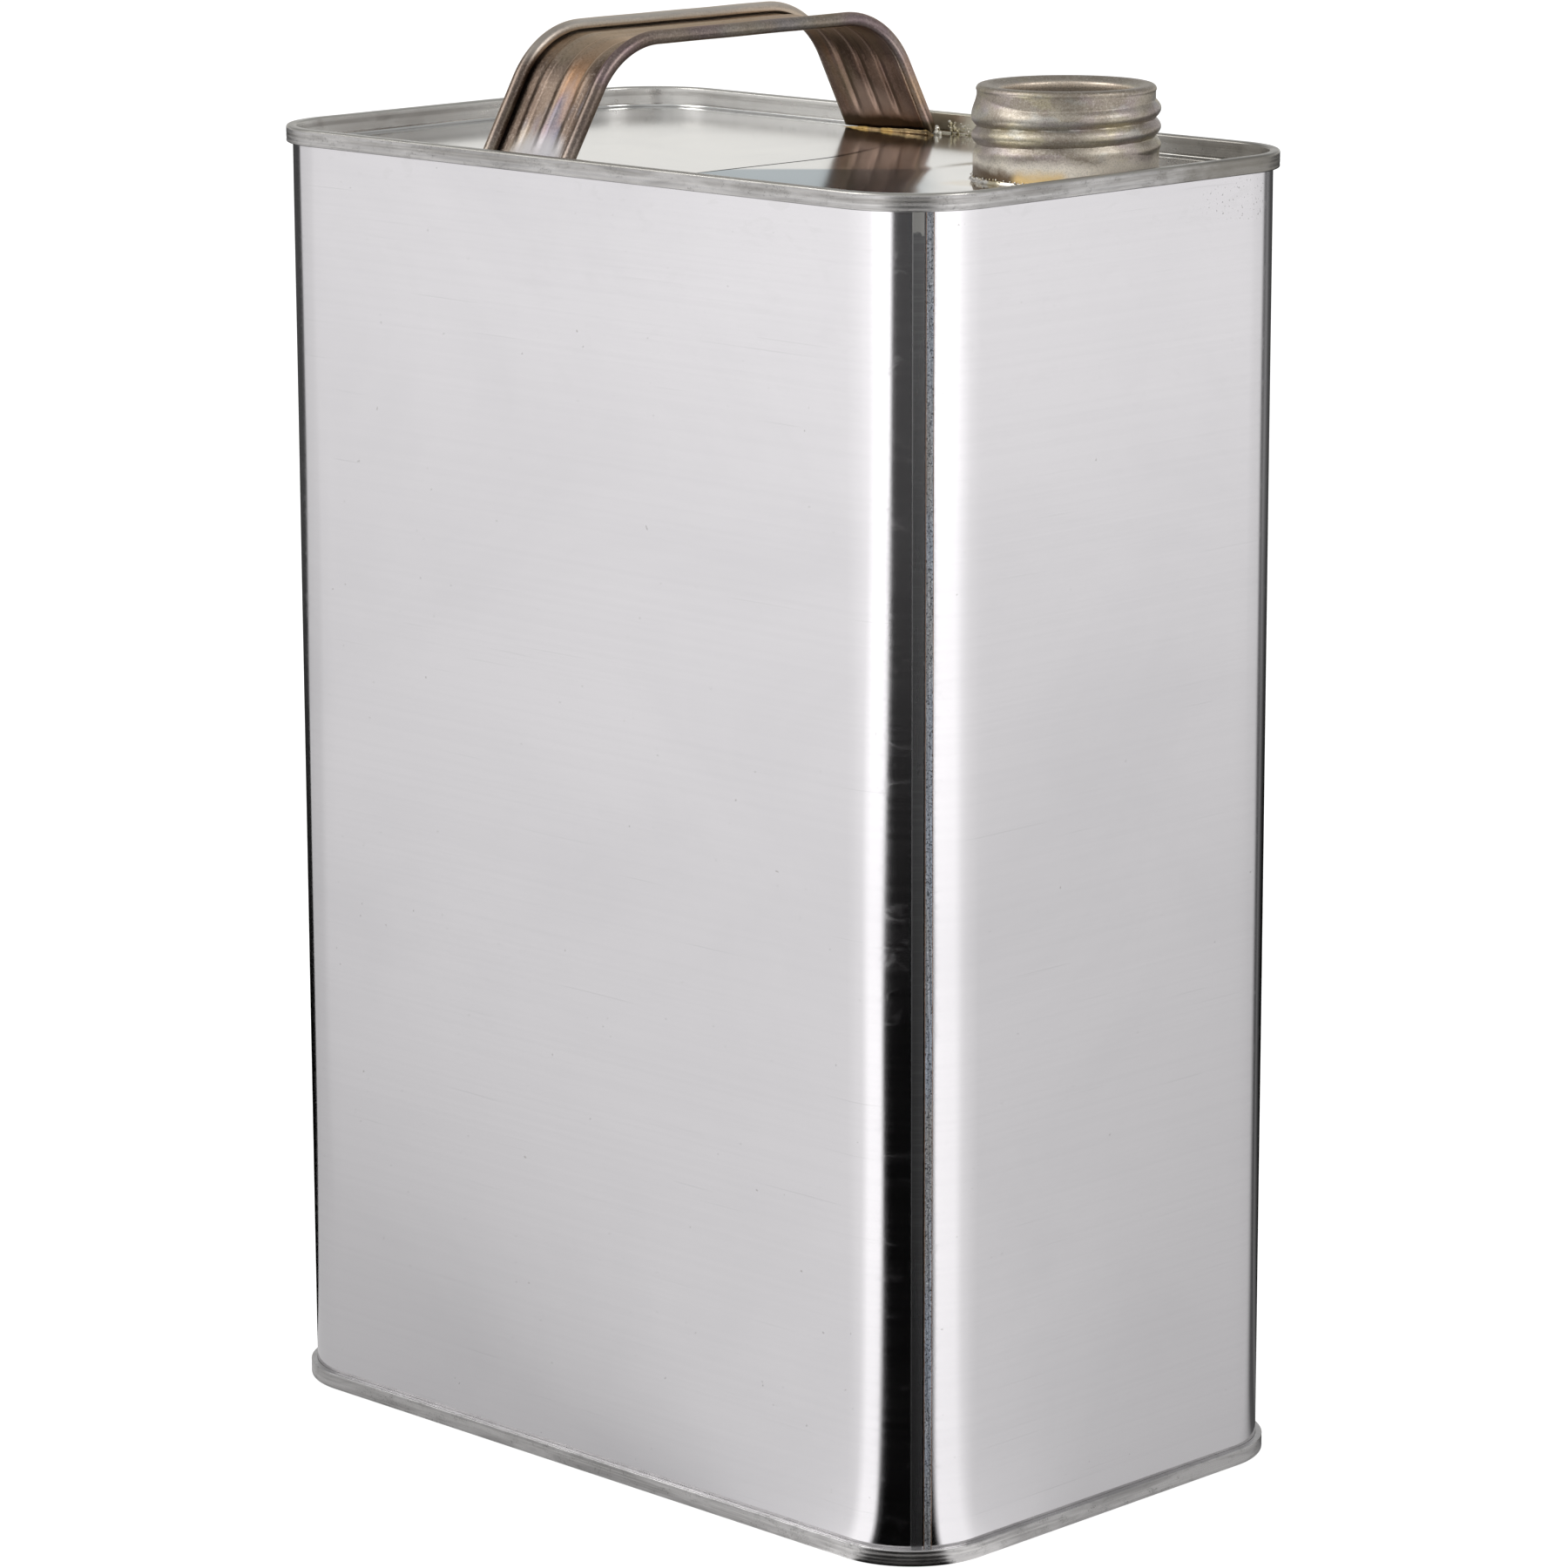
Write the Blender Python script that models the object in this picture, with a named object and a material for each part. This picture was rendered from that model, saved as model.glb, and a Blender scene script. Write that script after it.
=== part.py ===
"""F-style can: an oblong one-gallon tinplate can with a threaded pouring neck and a strap handle.

Metres, +Z up. The origin is the middle of the can's footprint, on the surface that it stands on.
+X is the wide direction, +Y runs from the front wide face to the rear one.
"""
from math import cos, pi, radians, sin, tan

import bmesh
import bpy
from mathutils import Vector

# Body and double seams
BODY_WIDTH = 0.1683
BODY_DEPTH = 0.1016
CAN_HEIGHT = 0.2413
CORNER_RADIUS = 0.016
BODY_SHEET = 0.00025
END_SHEET = 0.00025
SEAM_LAYER_GAP = 0.00015
SEAM_HEIGHT = 0.0031
SEAM_BEND_RADIUS = 0.0002
SEAM_FOOT_RADIUS = 0.0003
HOOK_CLEARANCE = 0.0005
COMPOUND_THICKNESS = 0.0002
PANEL_DEPTH = 0.0038
PANEL_EDGE_RADIUS = 0.0005
CORNER_STEPS = 6
EDGE_STEPS = 3

# Side seam
SIDE_SEAM_WIDTH = 0.0015
SIDE_SEAM_THICKNESS = 0.00025
SIDE_SEAM_TURN = radians(9.5)
SIDE_SEAM_STEPS = 3

# Joints between pieces that touch
JOINT_GAP = 0.0003
CUT_OVERRUN = 0.002

# Pouring neck
NECK_SIDE_MARGIN = 0.0021
NECK_OFFSET_Y = 0.0111
NECK_SHEET = 0.0004
NECK_BASE_RADIUS = 0.01635
NECK_BASE_HEIGHT = 0.0051
NECK_ROOT_RADIUS = 0.0157
NECK_FLANGE_WIDTH = 0.003
RIM_RADIUS = 0.01585
RIM_EDGE_RADIUS = 0.0009
RIM_BAND_HEIGHT = 0.0003
RIM_GROOVE_WIDTH = 0.0024
RIM_GROOVE_CUT = 0.0006
RIM_LAND_WIDTH = 0.001
RIM_SLOPE_WIDTH = 0.0024
RIM_SLOPE_DROP = 0.0008
RIM_LIP_LENGTH = 0.0012
THREAD_PITCH = 0.003175
THREAD_HEIGHT = 0.00095
THREAD_HALF_WIDTH = 0.0015
THREAD_TOP_DEPTH = 0.0035
THREAD_TOP_ANGLE = radians(120)
THREAD_TURNS = 2.44
THREAD_FADE_TURNS = 0.15
THREAD_RUNOUT = 0.0003
NECK_SIDES = 36
NECK_ROWS = 24
NECK_SOLDER_WIDTH = 0.0016
NECK_SOLDER_HEIGHT = 0.0011
SOLDER_STEPS = 3

# Strap handle
HANDLE_CENTRE_X = -0.0151
HANDLE_WIDTH = 0.0229
HANDLE_RISE = 0.0247
HANDLE_TILT = radians(2.1)
REAR_FOOT_MARGIN = 0.0013
REAR_LEAN = radians(28.5)
FRONT_FOOT_MARGIN = 0.0003
FRONT_LEAN = radians(31.4)
HANDLE_BEND_RADIUS = 0.0175
HANDLE_SHEET = 0.00045
CURL_DIAMETER = 0.0026
CURL_START_TURN = radians(-90)
CURL_END_TURN = radians(195)
CURL_STEPS = 7
BEAD_COUNT = 3
BEAD_SPACING = 0.0052
BEAD_WIDTH = 0.0034
BEAD_HEIGHT = 0.0004
BEAD_STOP_SHARE = 0.37
BEAD_FULL_SHARE = 0.67
BEAD_STEPS = 4
BEND_STEPS = 6
FOOT_SOLDER_WIDTH = 0.0016
FOOT_SOLDER_HEIGHT = 0.0012
FRONT_SOLDER_SHARES = (0.5, 0.9, 1.1, 0.9, 1.0, 1.15, 0.95, 0.9, 0.5)
REAR_SOLDER_SHARES = (0.5, 0.85, 1.0, 0.8, 0.9, 1.1, 1.0, 1.5, 1.1)

# Offsets of the seam's layers, measured out from the body's outer face
CHUCK_OUTER = -(BODY_SHEET + SEAM_LAYER_GAP)
CHUCK_INNER = CHUCK_OUTER - END_SHEET
COVER_HOOK_INNER = SEAM_LAYER_GAP
COVER_HOOK_OUTER = COVER_HOOK_INNER + END_SHEET
BODY_HOOK_INNER = COVER_HOOK_OUTER + SEAM_LAYER_GAP
BODY_HOOK_OUTER = BODY_HOOK_INNER + BODY_SHEET
SEAM_PANEL_INNER = BODY_HOOK_OUTER + SEAM_LAYER_GAP
SEAM_PANEL_OUTER = SEAM_PANEL_INNER + END_SHEET

# Depths of the seam's layers, measured in from the can's end
COMPOUND_TOP_DEPTH = END_SHEET + SEAM_LAYER_GAP
BODY_EDGE_DEPTH = COMPOUND_TOP_DEPTH + COMPOUND_THICKNESS + SEAM_LAYER_GAP
BODY_HOOK_DEPTH = SEAM_HEIGHT - END_SHEET - HOOK_CLEARANCE
COVER_HOOK_DEPTH = BODY_EDGE_DEPTH + BODY_SHEET + HOOK_CLEARANCE
SEAM_EDGE_RADIUS = SEAM_BEND_RADIUS + END_SHEET

# Places on the top panel
PANEL_Z = CAN_HEIGHT - PANEL_DEPTH
PANEL_HALF_WIDTH = BODY_WIDTH / 2 + CHUCK_INNER - PANEL_EDGE_RADIUS
PANEL_HALF_DEPTH = BODY_DEPTH / 2 + CHUCK_INNER - PANEL_EDGE_RADIUS
NECK_FLANGE_RADIUS = NECK_BASE_RADIUS + NECK_FLANGE_WIDTH
NECK_CENTRE_X = PANEL_HALF_WIDTH - NECK_SIDE_MARGIN - NECK_FLANGE_RADIUS
NECK_HEIGHT = THREAD_TOP_DEPTH + THREAD_TURNS * THREAD_PITCH + THREAD_RUNOUT + NECK_BASE_HEIGHT
FLANGE_TOP_Z = -(END_SHEET + JOINT_GAP)
CURL_RADIUS = CURL_DIAMETER / 2
REAR_FOOT_Y = PANEL_HALF_DEPTH - REAR_FOOT_MARGIN - CURL_RADIUS / cos(REAR_LEAN)
FRONT_FOOT_Y = PANEL_HALF_DEPTH - FRONT_FOOT_MARGIN - CURL_RADIUS / cos(FRONT_LEAN)


def clear_scene():
    for old in list(bpy.data.objects):
        bpy.data.objects.remove(old, do_unlink=True)


def metal(name, colour, roughness):
    material = bpy.data.materials.new(name)
    material.use_nodes = True
    shader = material.node_tree.nodes["Principled BSDF"]
    shader.inputs["Base Color"].default_value = (*colour, 1.0)
    shader.inputs["Metallic"].default_value = 1.0
    shader.inputs["Roughness"].default_value = roughness
    return material


def can_ring(offset, z):
    """The can's outline at one level, moved out from the body's outer face by offset."""
    centre_x = BODY_WIDTH / 2 - CORNER_RADIUS
    centre_y = BODY_DEPTH / 2 - CORNER_RADIUS
    radius = CORNER_RADIUS + offset
    ring = []
    for quarter, (side_x, side_y) in enumerate(((1, 1), (-1, 1), (-1, -1), (1, -1))):
        for step in range(CORNER_STEPS + 1):
            angle = (quarter + step / CORNER_STEPS) * pi / 2
            x = side_x * centre_x + radius * cos(angle)
            y = side_y * centre_y + radius * sin(angle)
            ring.append(Vector((x, y, z)))
    return ring


def arc(centre_offset, centre_depth, radius, start, end):
    """Points of a rounded edge in the seam's section, as offset and depth."""
    points = []
    for step in range(EDGE_STEPS + 1):
        angle = start + (end - start) * step / EDGE_STEPS
        points.append((centre_offset + radius * cos(angle), centre_depth - radius * sin(angle)))
    return points


def skin(name, rings, material, closed_section):
    """A solid from rings of equal length: joined end to start, or capped at both ends."""
    bm = bmesh.new()
    levels = [[bm.verts.new(point) for point in ring] for ring in rings]
    count = len(levels[0])
    pairs = list(zip(levels, levels[1:]))
    if closed_section:
        pairs.append((levels[-1], levels[0]))
    for lower, upper in pairs:
        for i in range(count):
            j = (i + 1) % count
            bm.faces.new((lower[i], lower[j], upper[j], upper[i]))
    if not closed_section:
        bm.faces.new(levels[0])
        bm.faces.new(levels[-1])
    bmesh.ops.recalc_face_normals(bm, faces=bm.faces)
    mesh = bpy.data.meshes.new(name)
    bm.to_mesh(mesh)
    bm.free()
    mesh.materials.append(material)
    mesh.shade_smooth()
    mesh.set_sharp_from_angle(angle=radians(35))
    part = bpy.data.objects.new(name, mesh)
    bpy.context.collection.objects.link(part)
    return part


def make_body(material):
    """The body sheet: a rounded oblong tube whose two ends are folded out and back as hooks."""
    upper = [
        (-BODY_SHEET, BODY_EDGE_DEPTH),
        (BODY_HOOK_OUTER, BODY_EDGE_DEPTH),
        (BODY_HOOK_OUTER, BODY_HOOK_DEPTH),
        (BODY_HOOK_INNER, BODY_HOOK_DEPTH),
        (BODY_HOOK_INNER, BODY_EDGE_DEPTH + BODY_SHEET),
        (0, BODY_EDGE_DEPTH + BODY_SHEET),
    ]
    section = [(offset, CAN_HEIGHT - depth) for offset, depth in upper]
    section += [(offset, depth) for offset, depth in reversed(upper)]
    return skin("body_shell", [can_ring(*point) for point in section], material, True)


def make_side_seam(material):
    """The solder strip on the body's lapped joint, at the front right corner."""
    centre_x = BODY_WIDTH / 2 - CORNER_RADIUS
    centre_y = -(BODY_DEPTH / 2 - CORNER_RADIUS)
    inner = CORNER_RADIUS + SEAM_LAYER_GAP
    outer = inner + SIDE_SEAM_THICKNESS
    half_turn = SIDE_SEAM_WIDTH / 2 / outer
    middle = -pi / 4 + SIDE_SEAM_TURN
    outline = []
    for radius, direction in ((outer, 1), (inner, -1)):
        for step in range(SIDE_SEAM_STEPS + 1):
            angle = middle + direction * half_turn * (2 * step / SIDE_SEAM_STEPS - 1)
            outline.append((centre_x + radius * cos(angle), centre_y + radius * sin(angle)))
    clear_of_seam = SEAM_HEIGHT + JOINT_GAP
    rings = [[Vector((x, y, z)) for x, y in outline] for z in (clear_of_seam, CAN_HEIGHT - clear_of_seam)]
    return skin("side_seam_solder", rings, material, False)


def make_end(name, material):
    """One can end, seen from outside: sunk panel, chuck wall, rounded seam and cover hook.

    Its own frame has the seam's edge at z = 0, and the panel below it.
    """
    edge = SEAM_EDGE_RADIUS
    inner_edge = SEAM_BEND_RADIUS
    foot = SEAM_FOOT_RADIUS
    panel_edge = CHUCK_INNER - PANEL_EDGE_RADIUS
    panel_bend = PANEL_DEPTH - PANEL_EDGE_RADIUS
    section = arc(panel_edge, panel_bend, PANEL_EDGE_RADIUS, -pi / 2, 0)
    section += arc(CHUCK_INNER + edge, edge, edge, pi, pi / 2)
    section += arc(SEAM_PANEL_OUTER - edge, edge, edge, pi / 2, 0)
    section += arc(SEAM_PANEL_OUTER - foot, SEAM_HEIGHT - foot, foot, 0, -pi / 2)
    section += [
        (COVER_HOOK_INNER, SEAM_HEIGHT),
        (COVER_HOOK_INNER, COVER_HOOK_DEPTH),
        (COVER_HOOK_OUTER, COVER_HOOK_DEPTH),
        (COVER_HOOK_OUTER, SEAM_HEIGHT - END_SHEET),
        (SEAM_PANEL_INNER, SEAM_HEIGHT - END_SHEET),
    ]
    section += arc(SEAM_PANEL_INNER - inner_edge, edge, inner_edge, 0, pi / 2)
    section += arc(CHUCK_OUTER + inner_edge, edge, inner_edge, pi / 2, pi)
    section += arc(panel_edge, panel_bend, PANEL_EDGE_RADIUS + END_SHEET, 0, -pi / 2)
    rings = [can_ring(offset, -depth) for offset, depth in section]
    return skin(name, rings, material, False)


def make_compound(name, material):
    """The sealing compound that lies in the top of a double seam."""
    inner = -BODY_SHEET
    outer = BODY_HOOK_OUTER
    section = [
        (inner, COMPOUND_TOP_DEPTH),
        (outer, COMPOUND_TOP_DEPTH),
        (outer, COMPOUND_TOP_DEPTH + COMPOUND_THICKNESS),
        (inner, COMPOUND_TOP_DEPTH + COMPOUND_THICKNESS),
    ]
    return skin(name, [can_ring(offset, -depth) for offset, depth in section], material, True)


def circle(radius, z):
    ring = []
    for side in range(NECK_SIDES):
        angle = side / NECK_SIDES * 2 * pi
        ring.append(Vector((radius * cos(angle), radius * sin(angle), z)))
    return ring


def plain_neck_radius(z):
    """The neck's outer radius without its thread, at a height above the panel."""
    depth = NECK_HEIGHT - z
    groove_start = RIM_EDGE_RADIUS + RIM_BAND_HEIGHT
    base_start = NECK_HEIGHT - NECK_BASE_HEIGHT
    base_end = base_start + NECK_BASE_RADIUS - NECK_ROOT_RADIUS
    outline = [
        (0, RIM_RADIUS),
        (groove_start, RIM_RADIUS),
        (groove_start + RIM_GROOVE_WIDTH / 2, RIM_RADIUS - RIM_GROOVE_CUT),
        (groove_start + RIM_GROOVE_WIDTH, NECK_ROOT_RADIUS),
        (base_start, NECK_ROOT_RADIUS),
        (base_end, NECK_BASE_RADIUS),
    ]
    for (depth_a, radius_a), (depth_b, radius_b) in zip(outline, outline[1:]):
        if depth <= depth_b:
            share = (depth - depth_a) / (depth_b - depth_a)
            return radius_a + (radius_b - radius_a) * share
    return NECK_BASE_RADIUS


def thread_height(angle, z):
    """How far the rolled thread stands out of the wall: a right-handed ridge that fades at both ends."""
    depth = NECK_HEIGHT - z
    tallest = 0
    for turn in range(-1, int(THREAD_TURNS) + 2):
        turns_from_top = turn + (THREAD_TOP_ANGLE - angle) / (2 * pi)
        ridge_depth = THREAD_TOP_DEPTH + turns_from_top * THREAD_PITCH
        across = abs(depth - ridge_depth) / THREAD_HALF_WIDTH
        along = min(turns_from_top, THREAD_TURNS - turns_from_top) / THREAD_FADE_TURNS
        if across < 1 and along > 0:
            height = THREAD_HEIGHT * min(along, 1) * (1 + cos(pi * across)) / 2
            tallest = max(tallest, height)
    return tallest


def neck_ring(z, inset):
    """The neck's wall at one height, inset from its outer surface by the sheet's thickness or nothing."""
    ring = []
    for side in range(NECK_SIDES):
        angle = side / NECK_SIDES * 2 * pi
        radius = plain_neck_radius(z) + thread_height(angle, z) - inset
        ring.append(Vector((radius * cos(angle), radius * sin(angle), z)))
    return ring


def rim_edge(inset):
    """The rim's rounded edge from the wall up to the flat land, inset by the sheet's thickness or nothing."""
    radius = RIM_EDGE_RADIUS - inset
    rings = []
    for step in range(1, EDGE_STEPS + 1):
        angle = pi / 2 * step / EDGE_STEPS
        out = RIM_RADIUS - RIM_EDGE_RADIUS + radius * cos(angle)
        rings.append(circle(out, NECK_HEIGHT - RIM_EDGE_RADIUS + radius * sin(angle)))
    return rings


def make_neck(material):
    """The pouring neck: flange under the panel, threaded wall, and a rim turned in to the mouth.

    Its own frame has the panel's upper face at z = 0.
    """
    flange_bottom = FLANGE_TOP_Z - NECK_SHEET
    land_inner = RIM_RADIUS - RIM_EDGE_RADIUS - RIM_LAND_WIDTH
    mouth_radius = land_inner - RIM_SLOPE_WIDTH
    mouth_z = NECK_HEIGHT - RIM_SLOPE_DROP
    lip_z = mouth_z - RIM_LIP_LENGTH
    wall_top = NECK_HEIGHT - RIM_EDGE_RADIUS
    row_shares = [row / NECK_ROWS for row in range(NECK_ROWS + 1)]
    rings = [
        circle(NECK_FLANGE_RADIUS, flange_bottom),
        circle(NECK_FLANGE_RADIUS, FLANGE_TOP_Z),
        circle(NECK_BASE_RADIUS, FLANGE_TOP_Z),
    ]
    rings += [neck_ring(wall_top * share, 0) for share in row_shares]
    rings += rim_edge(0)
    rings += [
        circle(land_inner, NECK_HEIGHT),
        circle(mouth_radius, mouth_z),
        circle(mouth_radius, lip_z),
        circle(mouth_radius + NECK_SHEET, lip_z),
        circle(mouth_radius + NECK_SHEET, mouth_z - NECK_SHEET),
        circle(land_inner, NECK_HEIGHT - NECK_SHEET),
    ]
    rings += reversed(rim_edge(NECK_SHEET))
    rings += [neck_ring(wall_top * share, NECK_SHEET) for share in reversed(row_shares)]
    rings.append(circle(NECK_BASE_RADIUS - NECK_SHEET, flange_bottom))
    return skin("screw_neck", rings, material, True)


def fillet(width, height, foot_gap, lean):
    """A hollow-faced solder fillet's section, as distance out from the corner and height."""
    def wall(z):
        return foot_gap / cos(lean) + z * tan(lean)

    section = [(wall(foot_gap), foot_gap)]
    for step in range(SOLDER_STEPS + 1):
        angle = pi / 2 * step / SOLDER_STEPS
        out = width * (1 - sin(angle))
        z = foot_gap + height * (1 - cos(angle))
        section.append((wall(z) + out, z))
    return section


def make_neck_solder(material):
    """The solder fillet round the neck's foot."""
    section = fillet(NECK_SOLDER_WIDTH, NECK_SOLDER_HEIGHT, JOINT_GAP, 0)
    rings = [circle(NECK_BASE_RADIUS + out, z) for out, z in section]
    return skin("neck_solder_ring", rings, material, True)


def strap_section(bead_share):
    """The strap's section as points across and outward: rolled edges joined by a beaded web."""
    roll_radius = CURL_RADIUS - HANDLE_SHEET / 2
    roll_centre = HANDLE_WIDTH / 2 - CURL_RADIUS
    middle_line = []
    for step in range(CURL_STEPS + 1):
        angle = CURL_END_TURN + (CURL_START_TURN - CURL_END_TURN) * step / CURL_STEPS
        middle_line.append((-roll_centre - roll_radius * cos(angle), roll_radius * sin(angle)))
    for bead in range(BEAD_COUNT):
        bead_centre = (bead - (BEAD_COUNT - 1) / 2) * BEAD_SPACING
        for step in range(BEAD_STEPS + 1):
            share = step / BEAD_STEPS
            rise = BEAD_HEIGHT * bead_share * (1 - cos(2 * pi * share)) / 2
            middle_line.append((bead_centre + BEAD_WIDTH * (share - 1 / 2), rise - roll_radius))
    for step in range(CURL_STEPS + 1):
        angle = CURL_START_TURN + (CURL_END_TURN - CURL_START_TURN) * step / CURL_STEPS
        middle_line.append((roll_centre + roll_radius * cos(angle), roll_radius * sin(angle)))
    upper, lower = [], []
    for i, (x, n) in enumerate(middle_line):
        before = Vector(middle_line[max(i - 1, 0)])
        after = Vector(middle_line[min(i + 1, len(middle_line) - 1)])
        along = (after - before).normalized()
        upper.append((x - along.y * HANDLE_SHEET / 2, n + along.x * HANDLE_SHEET / 2))
        lower.append((x + along.y * HANDLE_SHEET / 2, n - along.x * HANDLE_SHEET / 2))
    return upper + lower[::-1]


def handle_half(foot_y, lean):
    """Stations from the handle's middle to one foot: centre, lean angle, bead share, is foot."""
    crown = HANDLE_RISE - CURL_RADIUS
    turn = pi / 2 - lean
    corner_y = foot_y - (crown - JOINT_GAP) * tan(lean)
    bend_y = corner_y - HANDLE_BEND_RADIUS * tan(turn / 2)
    bend_z = crown - HANDLE_BEND_RADIUS
    stations = [(0, crown, 0, 1, False)]
    for step in range(BEND_STEPS + 1):
        angle = turn * step / BEND_STEPS
        y = bend_y + HANDLE_BEND_RADIUS * sin(angle)
        z = bend_z + HANDLE_BEND_RADIUS * cos(angle)
        stations.append((y, z, angle, 1, False))
    leg_top_y, leg_top_z = stations[-1][:2]
    for leg_share, bead_share in ((BEAD_FULL_SHARE, 1), (BEAD_STOP_SHARE, 0)):
        y = foot_y + (leg_top_y - foot_y) * leg_share
        z = JOINT_GAP + (leg_top_z - JOINT_GAP) * leg_share
        stations.append((y, z, turn, bead_share, False))
    stations.append((foot_y, JOINT_GAP, turn, 0, True))
    return stations


def handle_ring(y, z, angle, bead_share, is_foot, side):
    """The strap's section at one station, cut level at the foot and tilted towards +X with its height."""
    along = Vector((0, side * cos(angle), -sin(angle)))
    outward = Vector((0, side * sin(angle), cos(angle)))
    if is_foot:
        outward = outward + along * cos(angle) / sin(angle)
    centre = Vector((0, side * y, z))
    sink = tan(HANDLE_TILT) * (z - JOINT_GAP) / (HANDLE_RISE - CURL_RADIUS - JOINT_GAP)
    return [centre + Vector((x, 0, -x * sink)) + outward * n for x, n in strap_section(bead_share)]


def make_handle(material):
    """The carrying strap across the can's narrow direction, both feet on the top panel."""
    front_half = handle_half(FRONT_FOOT_Y, FRONT_LEAN)
    rear_half = handle_half(REAR_FOOT_Y, REAR_LEAN)
    rings = [handle_ring(*station, -1) for station in reversed(front_half)]
    rings += [handle_ring(*station, 1) for station in rear_half[1:]]
    return skin("carry_handle", rings, material, False)


def make_foot_solder(name, shares, foot_y, lean, material):
    """A solder fillet along the inner side of one handle foot, thicker and thinner along its length.

    Its own frame has the handle's middle at y = 0 and the foot towards +Y.
    """
    inner_y = foot_y - CURL_RADIUS / cos(lean) + JOINT_GAP * tan(lean)
    rings = []
    for i, share in enumerate(shares):
        x = HANDLE_WIDTH * (i / (len(shares) - 1) - 1 / 2)
        section = fillet(FOOT_SOLDER_WIDTH * share, FOOT_SOLDER_HEIGHT * share, JOINT_GAP, lean)
        rings.append([Vector((x, inner_y - out, z)) for out, z in section])
    return skin(name, rings, material, False)


def cut_neck_hole(top_end):
    """The round hole in the top panel that the neck comes through."""
    bm = bmesh.new()
    bmesh.ops.create_cone(
        bm,
        cap_ends=True,
        segments=NECK_SIDES,
        radius1=NECK_BASE_RADIUS + JOINT_GAP,
        radius2=NECK_BASE_RADIUS + JOINT_GAP,
        depth=2 * CUT_OVERRUN + END_SHEET,
    )
    mesh = bpy.data.meshes.new("neck_hole_cutter")
    bm.to_mesh(mesh)
    bm.free()
    cutter = bpy.data.objects.new("neck_hole_cutter", mesh)
    bpy.context.collection.objects.link(cutter)
    cutter.location = (NECK_CENTRE_X, NECK_OFFSET_Y, PANEL_Z - END_SHEET / 2)
    cutter.hide_render = True
    cutter.display_type = "WIRE"
    hole = top_end.modifiers.new("neck_hole", "BOOLEAN")
    hole.operation = "DIFFERENCE"
    hole.solver = "EXACT"
    hole.object = cutter
    return cutter


def build():
    clear_scene()
    tinplate = metal("tinplate", (0.62, 0.62, 0.61), 0.28)
    end_tinplate = metal("end_tinplate", (0.55, 0.55, 0.53), 0.34)
    neck_metal = metal("neck_tinplate", (0.40, 0.36, 0.31), 0.38)
    strap_metal = metal("handle_steel", (0.34, 0.26, 0.20), 0.30)
    solder = metal("solder", (0.50, 0.47, 0.42), 0.42)
    compound = metal("sealing_compound", (0.05, 0.05, 0.05), 0.80)
    compound.node_tree.nodes["Principled BSDF"].inputs["Metallic"].default_value = 0.0

    can = bpy.data.objects.new("can", None)
    bpy.context.collection.objects.link(can)

    body = make_body(tinplate)
    side_seam = make_side_seam(solder)

    top_end = make_end("top_end", end_tinplate)
    top_end.location.z = CAN_HEIGHT
    cutter = cut_neck_hole(top_end)
    top_compound = make_compound("top_seam_compound", compound)
    top_compound.location.z = CAN_HEIGHT

    bottom_end = make_end("bottom_end", end_tinplate)
    bottom_end.rotation_euler.x = pi
    bottom_compound = make_compound("bottom_seam_compound", compound)
    bottom_compound.rotation_euler.x = pi

    neck = make_neck(neck_metal)
    neck_solder = make_neck_solder(solder)
    for part in (neck, neck_solder):
        part.location = (NECK_CENTRE_X, NECK_OFFSET_Y, PANEL_Z)

    handle = make_handle(strap_metal)
    rear_solder = make_foot_solder("handle_solder_rear", REAR_SOLDER_SHARES, REAR_FOOT_Y, REAR_LEAN, solder)
    front_solder = make_foot_solder(
        "handle_solder_front", FRONT_SOLDER_SHARES, FRONT_FOOT_Y, FRONT_LEAN, solder
    )
    front_solder.rotation_euler.z = pi
    for part in (handle, rear_solder, front_solder):
        part.location = (HANDLE_CENTRE_X, 0, PANEL_Z)

    parts = [body, side_seam, top_end, cutter, top_compound, bottom_end, bottom_compound]
    parts += [neck, neck_solder, handle, rear_solder, front_solder]
    for part in parts:
        part.parent = can


build()
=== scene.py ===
"""The looks of an oblong one-gallon tinplate can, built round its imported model.

Metres, +Z up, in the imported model's own frame. The can's front wide face looks along -Y and its
narrow face with the neck looks along +X.
"""
from math import atan2, copysign, cos, hypot, pi, radians, sin, tan
from random import Random

import bmesh
import bpy
from mathutils import Matrix, Vector, noise


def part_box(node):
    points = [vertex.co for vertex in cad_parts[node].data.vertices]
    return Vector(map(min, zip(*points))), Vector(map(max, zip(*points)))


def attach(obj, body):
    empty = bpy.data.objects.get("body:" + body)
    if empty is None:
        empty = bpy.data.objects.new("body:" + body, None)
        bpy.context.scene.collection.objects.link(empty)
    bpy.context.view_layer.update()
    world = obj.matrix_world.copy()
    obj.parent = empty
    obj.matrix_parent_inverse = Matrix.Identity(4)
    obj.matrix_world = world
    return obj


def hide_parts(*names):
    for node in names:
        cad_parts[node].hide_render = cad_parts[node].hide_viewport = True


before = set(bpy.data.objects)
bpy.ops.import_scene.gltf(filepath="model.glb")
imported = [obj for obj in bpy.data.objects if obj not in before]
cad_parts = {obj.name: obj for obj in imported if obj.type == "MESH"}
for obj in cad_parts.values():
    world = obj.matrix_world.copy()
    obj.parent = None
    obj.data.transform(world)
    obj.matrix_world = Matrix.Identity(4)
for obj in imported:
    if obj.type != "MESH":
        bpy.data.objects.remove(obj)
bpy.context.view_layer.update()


# The photographer's place: a long lens a metre away, level with the top of the can and a little
# above it, looking down on the near corner. The roll is the small tilt that the picture has.
CAMERA_PLACE = Vector((0.77161, -0.77384, 0.36067))
CAMERA_TURN = radians(44.83)
CAMERA_DROP = radians(12.373)
CAMERA_ROLL = radians(-0.182)
LENS_MM = 138.43
FILM_MM = 36.0

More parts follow.
